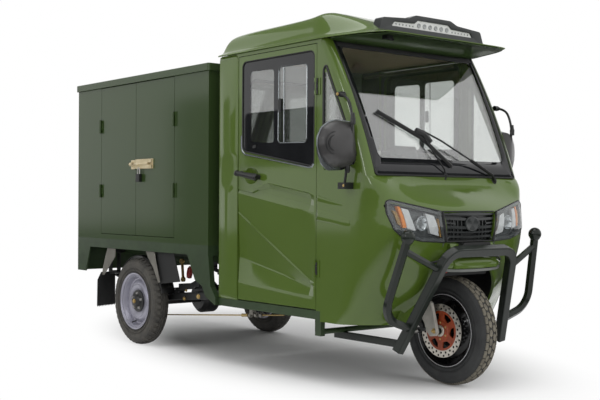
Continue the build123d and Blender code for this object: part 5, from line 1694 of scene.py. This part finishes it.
def spring_gear():
    """Leaf stacks, eye bolts, links, stops and brake rods."""
    ease_edges(paired_plates("spring_leaves", black_steel, (SPRING, 352, 398), (LEAF_CLAMP, 340, 400),
        (LOWEST_LEAF, 356, 396)), 0.003)
    bright, dark, red = bmesh.new(), bmesh.new(), bmesh.new()
    for side in (-1, 1):
        out = (0, side, 0)
        link = side_of(side, (LINK_FOOT, LINK_TOP))
        for end in link:
            turned(bright, end, out, ((-8, 5), (-8, 14), (8, 14), (8, 5)), 20)
        tube(bright, link, 9)
        for place, size, height in (((704, 528, 336), 13, 9), ((389, 402, 340), 8, 8),
                ((368, 402, 292), 10, 8)):
            bolt(bright, *side_of(side, (place,)), out, size, height)
        for rod in ((44, 350, 168), (866, 350, 240)), ((1038, 350, 256), (1218, 350, 272)):
            tube(bright, side_of(side, rod), 4)
        turned(bright, at(858, side * 350, 239), (1, 0, 0.09), ((0, 5), (0, 9), (52, 8), (52, 4)))
        for step in (0, 52, 96):
            turned(dark, at(925 + step, side * 350, 246 + step * 0.1), (1, 0, 0.09),
                ((0, 4), (0, 14), (16, 14), (16, 4)), 6)
        block(dark, (936, side * 350 - 12, 250), (966, side * 350 + 12, 302))
        turned(red, at(352, side * 362, 404), (0.2, 0, 1),
            ((0, 6), (4, 15), (30, 18), (56, 16), (70, 8), (71, 0)), 20)
    add_piece("yellow_links", bright, brass)
    add_piece("rod_clamps", dark, zinc_sheet)
    add_piece("bump_stops", red, clip_red)


spring_gear()
print("springs and brake rods ready")

# %% [markdown]
# Behind the door the cab's quarter panel is pressed. A rounded field runs down to the belt, a
# flat strip stands below it, and two facets end at the sill. The pressing is a thin skin over the
# packed panel: rows of heights, each with how far it stands proud at seven stations.

# %% Quarter panel pressing
QUARTER_STATIONS = (868, 880, 896, 925, 970, 1006, 1034)
QUARTER_ROWS = ((1596, (1, 1, 1, 1, 1, 1, 1)), (1520, (1, 1, 2, 2, 2, 2, 1)),
                (1490, (1, 1, 4, 5, 5, 4, 1)),
                (1300, (1, 1, 5, 6, 6, 5, 1)), (1130, (1, 1, 5, 6, 6, 5, 1)),
                (1100, (1, 1, 4, 6, 6, 5, 1)), (1078, (1, 1, 2, 3, 5, 5, 2)),
                (1062, (1, 1, 2, 2, 2, 3, 2)), (960, (1, 2, 3, 3, 3, 3, 2)),
                (915, (1, 2, 3, 4, 4, 3, 2)), (900, (1, 2, 4, 9, 9, 4, 2)),
                (620, (1, 2, 4, 9, 9, 4, 2)), (560, (1, 2, 3, 10, 10, 3, 2)),
                (490, (1, 2, 3, 4, 7, 3, 2)), (433, (1, 2, 3, 8, 5, 3, 2)),
                (352, (1, 6, 9, 6, 4, 3, 2)), (346, (1, 1, 1, 1, 1, 1, 1)))


def quarter_skins():
    """Pressed skins of both quarter panels."""
    bm = bmesh.new()
    bridge_rows(bm, [[at(station, -CAB_HALF - proud, height)
        for station, proud in zip(QUARTER_STATIONS, row)] for height, row in QUARTER_ROWS])
    mirror_left(bm)
    piece = add_piece("quarter_pressings", bm, cab_paint, sharp=60)
    return finish_with(piece, 0.0015, 2)


quarter_skins()
print("quarter pressings ready")

# %% [markdown]
# The triangular quarter lights ahead of the doors are glued in rubber, flush with the skin, with
# a bright strip along the foot. The bulkhead window behind the seat is one flat rounded pane.

# %% Quarter lights and bulkhead window
QUARTER_LIGHT = ((1708, 1016), (1708, 1456), (1726, 1474), (1932, 1060), (1916, 1038))


def fixed_glass():
    """Panes, rubbers and foot strips of the fixed windows."""
    panes, rubber, strips = bmesh.new(), bmesh.new(), bmesh.new()
    outline = rounded_outline(QUARTER_LIGHT, 11)
    for side in (-1, 1):
        side_prism(panes, outline, 504, 508, side)
        side_tube(rubber, side, 509, outline, 7)
        side_tube(strips, side, 513, ((1706, 1060), (1708, 1034), (1720, 1022), (1900, 1036),
            (1922, 1048)), 4, False)
    middle = node_centre("cab_rear_wall").x / MM + MID_STATION
    corners = rounded_box(-330, 330, 1060, 1494, 40)
    facing_prism(panes, corners, middle - 2, middle + 2)
    for depth in (middle - 13, middle + 13):
        tube(rubber, [at(depth, left, height) for left, height in corners], 8, True)
    add_piece("fixed_panes", panes, window_glass, replaces=("cab_fixed_windows",), slot="glass")
    add_piece("fixed_window_rubbers", rubber, seal_rubber)
    add_piece("quarter_light_strips", strips, satin_chrome)


fixed_glass()
print("fixed windows ready")

# %% [markdown]
# The cab is lined in pale grey board, with a beige roof cloth. Its bench has a cushion and a back
# in black leatherette over foam. Foam pushes its cover out until the seams stop it, so each
# cushion is blown up as cloth from a slightly smaller block, then sewn: two channels are pressed
# in across it and a welt runs round its edge.

# %% Seat cushions
leatherette, tree, shader, coords = new_material("black_leatherette", "#1d1e20", 0.5, Sheen_Weight=0.15)
pebbles = add_node(tree, "TexVoronoi", {"Scale": 1 / (4 * MM)}, {"Vector": coords})
add_bump(tree, shader, pebbles.outputs["Distance"], 0.0003)
vary_colour(tree, shader, noise(tree, coords, 0.09), "#17181a", "#26272a")
BENCH = ((964, 1378), (-372, 372), (606, 706))
BACKREST = ((900, 988), (-372, 372), (738, 1140))
PUFF_LIMIT = 0.012


def rounded_block(ranges, inset, radius):
    """Rounded block between (low, high) ranges in mm, drawn in by an inset."""
    bm = bmesh.new()
    bmesh.ops.create_cube(bm, size=1)
    low, high = (Vector(end) for end in zip(*ranges))
    middle, span = (low + high) / 2, high - low - Vector((2, 2, 2)) * inset
    bmesh.ops.scale(bm, verts=bm.verts, vec=span * MM)
    bmesh.ops.translate(bm, verts=bm.verts, vec=at(*middle))
    bmesh.ops.bevel(bm, geom=bm.edges[:], offset=radius * MM, segments=5, affect="EDGES", profile=0.5,
        material=-1)
    return bm


def puffed(piece, frames=20):
    """Blow the piece up as cloth, keep the result, and hold each point near its start."""
    remesh = piece.modifiers.new("Remesh", "REMESH")
    remesh.mode = "VOXEL"
    remesh.voxel_size = 0.006
    keep_result(piece)
    start = [vert.co.copy() for vert in piece.data.vertices]
    cloth = piece.modifiers.new("Cloth", "CLOTH")
    cloth.settings.use_pressure = True
    cloth.settings.uniform_pressure_force = 4
    cloth.settings.tension_stiffness = cloth.settings.compression_stiffness = 15
    cloth.settings.bending_stiffness = 0.5
    cloth.settings.effector_weights.gravity = 0
    cloth.point_cache.frame_end = frames
    for frame_number in range(1, frames + 1):
        scene.frame_set(frame_number)
    keep_result(piece)
    scene.frame_set(1)
    for vert, origin in zip(piece.data.vertices, start):
        step = vert.co - origin
        if step.length > PUFF_LIMIT:
            vert.co = origin + step.normalized() * PUFF_LIMIT


def keep_result(piece):
    """Replace a piece's mesh by what its modifiers make of it, and drop them."""
    mesh = evaluated_mesh(piece)
    piece.modifiers.clear()
    piece.data = mesh


def sew(piece, ranges, channels, pull):
    """Press the sewn channels in, and pull the sides in between the corners."""
    (back, front), (right, left), (low, high) = ranges
    middle = at((back + front) / 2, (right + left) / 2, (low + high) / 2)
    half = Vector((front - back, left - right, high - low)) * MM / 2
    for vert in piece.data.vertices:
        away = vert.co - middle
        for channel in channels:
            near = math.exp(-((vert.co.y / MM - channel) / 7) ** 2)
            vert.co -= Vector((away.x * 0.1, 0, away.z * 0.1)) * near
        waist = (1 - min(1, abs(away.y) / half.y) ** 2) * pull * MM
        if abs(away.x) > half.x * 0.8:
            vert.co.x -= math.copysign(waist, away.x) * (1 - min(1, abs(away.z) / half.z) ** 2)
    for face in piece.data.polygons:
        face.use_smooth = True


def cushion(name, ranges, channels):
    """One cushion, blown up and sewn."""
    piece = add_piece(name, rounded_block(ranges, 9, 22), leatherette, sharp=180)
    puffed(piece)
    sew(piece, ranges, channels, 4)
    finish_with(piece, 0.0, 1)
    return piece


def welts():
    """Piping round both cushions, a little inside their largest outline."""
    bm = bmesh.new()
    (back, front), (right, left), (low, high) = BENCH
    outline = rounded_box(back + 14, front - 10, right + 12, left - 12, 24)
    tube(bm, [at(station, across, high - 18) for station, across in outline], 3.5, True)
    (back, front), (right, left), (low, high) = BACKREST
    outline = rounded_box(right + 12, left - 12, low + 14, high - 14, 24)
    tube(bm, [at(front - 14, across, height) for across, height in outline], 3.5, True)
    return add_piece("seat_welts", bm, leatherette)


CHANNELS = (-186, 0, 186)
bench = cushion("seat_bench", BENCH, CHANNELS)
cushion("seat_backrest", BACKREST, CHANNELS)
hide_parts("seat_cushions")
welts()
print("cushions ready")

# %% [markdown]
# Lining boards stand on the bulkhead and beside the seat, and the roof cloth shows beige. The
# dash is grained grey with a gauge pod, a switch panel and two vents. The bar has rubber grips
# with ribs, brake levers and switch boxes, and two pedals stand on the floor.

# %% Cab interior
lining_grey = grained("pale_grey_lining_board", "#8f9494", "#9ba0a0", 0.5, 0.002, 0.00004, 0.1)
roof_cloth = grained("beige_roof_cloth", "#cdb394", "#d6bea1", 0.85, 0.0015, 0.00015, 0.08)
lining_charcoal = grained("charcoal_lining_board", "#3a3c3f", "#45474a", 0.6, 0.002, 0.00006)
dress(roof_cloth, "headliner")
dress(lining_grey, "cab_rear_wall")


def lining():
    """Boards round the bulkhead window, on the quarter panels and on the doors."""
    board = facing_plate("bulkhead_lining", lining_grey, rounded_box(-466, 466, 620, 1586, 30),
        893, 896)
    opening = bmesh.new()
    facing_prism(opening, rounded_box(-336, 336, 1054, 1500, 44), 885, 905)
    carve(board, opening)
    rails = bmesh.new()
    for side in (-1, 1):
        tube(rails, [at(station, side * 452, height) for station, height in ((940, 1560), (1300, 1566),
            (1620, 1560))], 9, smooth=True)
    add_piece("headlining_rails", rails, trim_plastic)
    for side, sign in SIGN.items():
        side_plate(f"quarter_lining_{side}", lining_charcoal, box_outline(882, 1030, 620, 1590),
            474, 479, sign)
        board = side_plate(f"door_lining_{side}", lining_charcoal,
            rounded_outline(((1052, 372), (1052, 1572), (1640, 1572), (1640, 372)), 25), 476.5, 480.5,
            sign, f"cab_door_{side}")
        opening = bmesh.new()
        side_prism(opening, rounded_outline(WINDOW, 30), 470, 490, sign)
        carve(board, opening)


def gauge_pod():
    """Hooded pod on the bar with its round dial and glass."""
    low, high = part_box("handlebar")
    place = at((low.x + high.x) / 2 / MM + MID_STATION + 12, 0, high.z / MM - 66)
    for name, material, profile in (
            ("gauge_pod", black_plastic, ((-26, 0), (-26, 40), (-6, 52), (10, 54), (13, 52),
                                          (11, 48), (0, 46), (0, 0))),
            ("gauge_dial", lens_white, ((2, 0), (2, 45), (3, 45), (3, 0))),
            ("gauge_glass", lamp_clear, ((8, 0), (8, 47), (9, 47), (10, 0)))):
        turned_piece(name, material, "steering", place, (-0.72, 0, 0.7), profile, 40)


def bar_controls():
    """Ribbed grips, levers and switch boxes in place of the plain bar."""
    bar = add_piece("handlebar_tube", copied_part("handlebar"), black_steel, "steering",
        replaces=("handlebar",), slot="black_plastic")
    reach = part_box("handlebar")[1].y
    ends = [vert.co for vert in bar.data.vertices if abs(vert.co.y) > reach - 0.001]
    centre = sum(ends, Vector()) / len(ends)
    place = Vector((centre.x, 0, centre.z))
    grips, levers = bmesh.new(), bmesh.new()
    for side in (-1, 1):
        ribs = [(0, 0), (0, 20)]
        for i in range(16):
            ribs += [(3 + 7 * i, 17), (5 + 7 * i, 19), (7 + 7 * i, 19)]
        turned(grips, place + Vector((0, side * 0.322, 0)), (0, -side, 0), (*ribs, (122, 17), (122, 0)),
            24)
        turned(grips, place + Vector((0, side * 0.192, 0)), (0, -side, 0),
            ((0, 0), (0, 20), (4, 24), (30, 24), (34, 20), (34, 0)), 24)
        points = [place + Vector((x, side * y, z)) for x, y, z in ((0.022, 0.175, 0),
            (0.045, 0.2, -0.002), (0.052, 0.26, -0.006), (0.05, 0.318, -0.01))]
        tube(levers, points, 5, smooth=True)
        turned(levers, points[-1], (0, side, 0), ((-7, 0), (-5, 6), (0, 7.5), (5, 6), (7, 0)), 16)
        block(levers, ((place.x + 0.004) / MM + MID_STATION, side * 168 - 12, place.z / MM - 10),
            ((place.x + 0.03) / MM + MID_STATION, side * 168 + 12, place.z / MM + 10))
    add_piece("handlebar_grips", grips, seal_rubber, "steering")
    add_piece("brake_levers", levers, bright_steel, "steering")


def dash_details():
    """Vents, switch panel and pedals."""
    parts, dark = bmesh.new(), bmesh.new()
    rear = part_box("dashboard")[0].x / MM + MID_STATION
    for left in (-330, 330):
        facing_prism(dark, rounded_box(left - 50, left + 50, 890, 930, 8), rear - 3, rear + 2)
        for i in range(5):
            facing_prism(parts, box_outline(left - 44, left + 44, 896 + 7 * i, 898 + 7 * i), rear - 6,
                rear - 2)
    for left in range(150, 229, 26):
        facing_prism(parts, rounded_box(left, left + 20, 896, 924, 3), rear - 7, rear + 1)
    for left in (-60, 40):
        tube(dark, [at(1700, left, 356), at(1690, left, 420), at(1640, left, 470)], 6, smooth=True)
        facing_prism(dark, rounded_box(left - 26, left + 26, 452, 500, 8), 1626, 1636)
    add_piece("dash_switches", parts, lining_grey)
    add_piece("dash_vents", dark, black_plastic)


lining()
gauge_pod()
bar_controls()
dash_details()
print("cab interior ready")

# %% [markdown]
# The slide bolt on the van doors is yellow-passivated sheet: a flanged case, a round bar with a
# turned-down knob, and a keeper on the other leaf. A small black padlock hangs from it. The bar
# is drawn back, so that the leaves can open.

# %% Slide bolts and padlocks
pale_passivated = grained("pale_yellow_zinc", "#d9cba9", "#c3b38b", 0.4, 0.001, 0.00003, 0.05, 0.35)
LEAF, BAR_HEIGHT = 530, 1059  # the leaves' face from the middle, and the bar's height


def slide_bolt(side):
    """Case, bar and padlock on the front leaf, keeper on the rear leaf."""
    sign, middle = SIGN[side], SIGN[side] * (LEAF + 11)
    front, rear = f"box_leaf_front_{side}", f"box_leaf_rear_{side}"
    case = bmesh.new()
    low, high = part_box(f"slide_bolt_{side}")
    start, end = low.x / MM + MID_STATION + 2, high.x / MM + MID_STATION
    side_prism(case, box_outline(start + 4, end, 1031, 1088), LEAF, LEAF + 2, sign)
    for base in (1033, 1066):
        side_prism(case, box_outline(start + 8, end - 4, base, base + 20), LEAF + 2, LEAF + 14, sign)
    turned(case, at(start, middle, BAR_HEIGHT), (1, 0, 0), ((0, 0), (0, 7), (2, 8), (150, 8), (151, 0)),
        20)
    turned(case, at(start + 50, middle, BAR_HEIGHT), (0, sign, -0.5),
        ((0, 5), (24, 5), (26, 4), (26, 0)), 16)
    for station in (start + 14, end - 12):
        for height in (1056, 1062):
            bolt(case, at(station, sign * (LEAF + 2), height), (0, sign, 0), 4, 2.5, False)
    add_piece(f"slide_bolt_case_{side}", case, pale_passivated, front, replaces=(f"slide_bolt_{side}",),
        slot="zinc")
    keeper = bmesh.new()
    side_prism(keeper, rounded_box(start - 60, start - 16, 1031, 1084, 5), LEAF, LEAF + 2, sign)
    turned(keeper, at(start - 50, middle, BAR_HEIGHT), (1, 0, 0),
        ((0, 9), (0, 12), (22, 12), (22, 9), (0, 9)), 20)
    add_piece(f"bolt_keeper_{side}", keeper, pale_passivated, rear)
    x = start + 46
    side_plate(f"padlock_{side}", black_steel, rounded_outline(((x - 20, 956), (x + 20, 956),
        (x + 22, 1002), (x - 18, 1002)), 6), 536, 551, sign, front)
    shackle = bmesh.new()
    tube(shackle, [at(x + along, sign * 543, height) for along, height in ((-10, 996), (-10, 1020),
        (-6, 1034), (2, 1040), (10, 1032), (12, 1018), (12, 996))], 3, smooth=True)
    add_piece(f"padlock_shackle_{side}", shackle, bright_steel, front)


for side in SIDES:
    slide_bolt(side)
print("slide bolts ready")

# %% [markdown]
# The tail lamps are red lenses with an amber and a clear field, ribbed inside, each on a black
# base. Between them is a blank number plate with its small lamp above.

# %% Tail lamps and plate
LAMP_INNER, LAMP_OUTER = 400.0, 500.0
red_lens = grained("red_lens_plastic", "#a11618", "#8c1012", 0.15, 0.0008, 0.00001)


def tail_lamp(side):
    """Base and three ribbed lens fields."""
    sign = SIGN[side]
    low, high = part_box("tail_lamps")
    face = low.x / MM + MID_STATION
    bottom, top = low.z / MM, high.z / MM
    facing_plate(f"tail_lamp_base_{side}", black_plastic, rounded_box(sign * LAMP_INNER,
        sign * LAMP_OUTER, bottom, top, 7), face + 11, face + 4)
    edges = (LAMP_OUTER - 3, LAMP_OUTER - 34, LAMP_OUTER - 64, LAMP_INNER + 3)
    for colour, material, left, right in (("red", red_lens, edges[0], edges[1]),
            ("amber", amber_plastic, edges[1] - 1, edges[2]), ("clear", lamp_clear, edges[2] - 1,
            edges[3])):
        lens = bmesh.new()
        facing_prism(lens, rounded_box(sign * left, sign * right, bottom + 3, top - 3, 4), face + 4,
            face + 0.5)
        for i in range(5):
            height = bottom + 10 + 9.5 * i
            facing_prism(lens, box_outline(sign * (left - 2), sign * (right + 2), height, height + 3),
                face + 1, face)
        add_piece(f"tail_lens_{colour}_{side}", lens, material)


def number_plate():
    """Blank plate, its holder and its lamp."""
    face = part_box("bed_frame")[0].x / MM + MID_STATION
    facing_plate("number_plate_blank", lens_white, rounded_box(-120, 120, 420, 530, 10), face - 1,
        face - 4)
    holder = bmesh.new()
    facing_prism(holder, rounded_outline(((-40, 536), (40, 536), (34, 556), (-34, 556)), 5), face - 1,
        face - 26)
    for left in (-80, 80):
        bolt(holder, at(face - 4, left, 516), (-1, 0, 0), 4, 3)
    add_piece("plate_lamp", holder, black_plastic)


for side in SIDES:
    tail_lamp(side)
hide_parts("tail_lamps")
number_plate()
print("tail lamps ready")

# %% [markdown]
# The bull bar's horns are stout round tubes with balls on top, tied to the hoop by thinner struts.
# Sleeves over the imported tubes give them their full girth, and each bend is a true arc. Two small
# pressings close the nose's lower corners behind the hoop, and two creases run on from the doors
# along the nose's flanks, fading forwards.

# %% Horns, corners and flank creases
HORN = ((2176, 430, 690), (2086, 487, 345), (2075.5, 314.8, 288))
HORN_BEND, HORN_RADIUS, BALL_RADIUS = 95.0, 20, 31
STRUT = ((2163, 438.3, 640), (2182.3, 238.2, 548))
CORNER = ((340, 290), (245, 296), (205, 380), (305, 360))
FLANK_STRIP = ((1665, 816, 764, 6), (1778, 792, 753, 5), (1840, 781, 744, 3), (1895, 771, 740, 0.4))
FLANK_WEDGE = ((1665, 876, 853, 4), (1750, 856, 840, 3), (1843, 836, 830, 0.4))


def round_bend(start, corner, end, radius, steps=10):
    """Three points as a path whose corner is an arc."""
    before, after = (start - corner).normalized(), (end - corner).normalized()
    half = before.angle(after) / 2
    first, last = (corner + arm * radius / math.tan(half) for arm in (before, after))
    centre = corner + (before + after).normalized() * radius / math.sin(half)
    arms = (first - centre).normalized(), (last - centre).normalized()
    return [start, *(centre + arms[0].slerp(arms[1], i / steps) * radius for i in range(steps + 1)),
        end]


def horns():
    """Sleeves, struts and balls of the bull bar."""
    bm = bmesh.new()
    for sign in (-1, 1):
        top, corner, foot = side_of(sign, HORN)
        tube(bm, round_bend(top, corner, foot, HORN_BEND * MM), HORN_RADIUS)
        tube(bm, side_of(sign, STRUT), 15)
        turned(bm, top, (0, 0, 1), [(BALL_RADIUS * math.sin(math.radians(angle)) + 8,
            BALL_RADIUS * math.cos(math.radians(angle))) for angle in range(-90, 91, 15)])
    return add_piece("bull_bar_sleeves", bm, bar_paint, sharp=50)


def flank_point(sign, station, height, proud):
    """Point standing proud of the nose's flank, in mm."""
    start = at(station, sign * 900, height)
    found = nose.ray_cast(start, Vector((0, -sign, 0)))[0] or at(station, sign * CAB_HALF, height)
    return found + Vector((0, sign * proud, 0)) * MM


def flank_creases():
    """Two fading pressings on each flank."""
    bm = bmesh.new()
    for sign in (-1, 1):
        for table, lift in ((FLANK_STRIP, (-1, 0.3, 1, -1)), (FLANK_WEDGE, (-1, 1, 0.3, -1))):
            first, last = table[0][0], table[-1][0]
            rows = []
            for i in range(13):
                station = first + (last - first) * i / 12
                top, low, proud = (blend([(row[0], row[k]) for row in table], station)
                    for k in (1, 2, 3))
                rows.append([flank_point(sign, station, height, share * (proud if share > 0 else 1))
                    for height, share in zip((top + 4, top, low, low - 6), lift)])
            bridge_rows(bm, rows)
    return finish_with(add_piece("nose_flank_creases", bm, cab_paint, sharp=60), 0.002, 1)


horns()
flank_creases()
corners = bmesh.new()
for sign in (-1, 1):
    facing_prism(corners, [(sign * left, height) for left, height in CORNER], 2002, 2008)
add_piece("nose_corner_plates", corners, cab_paint)
print("horns, corners and flank creases ready")
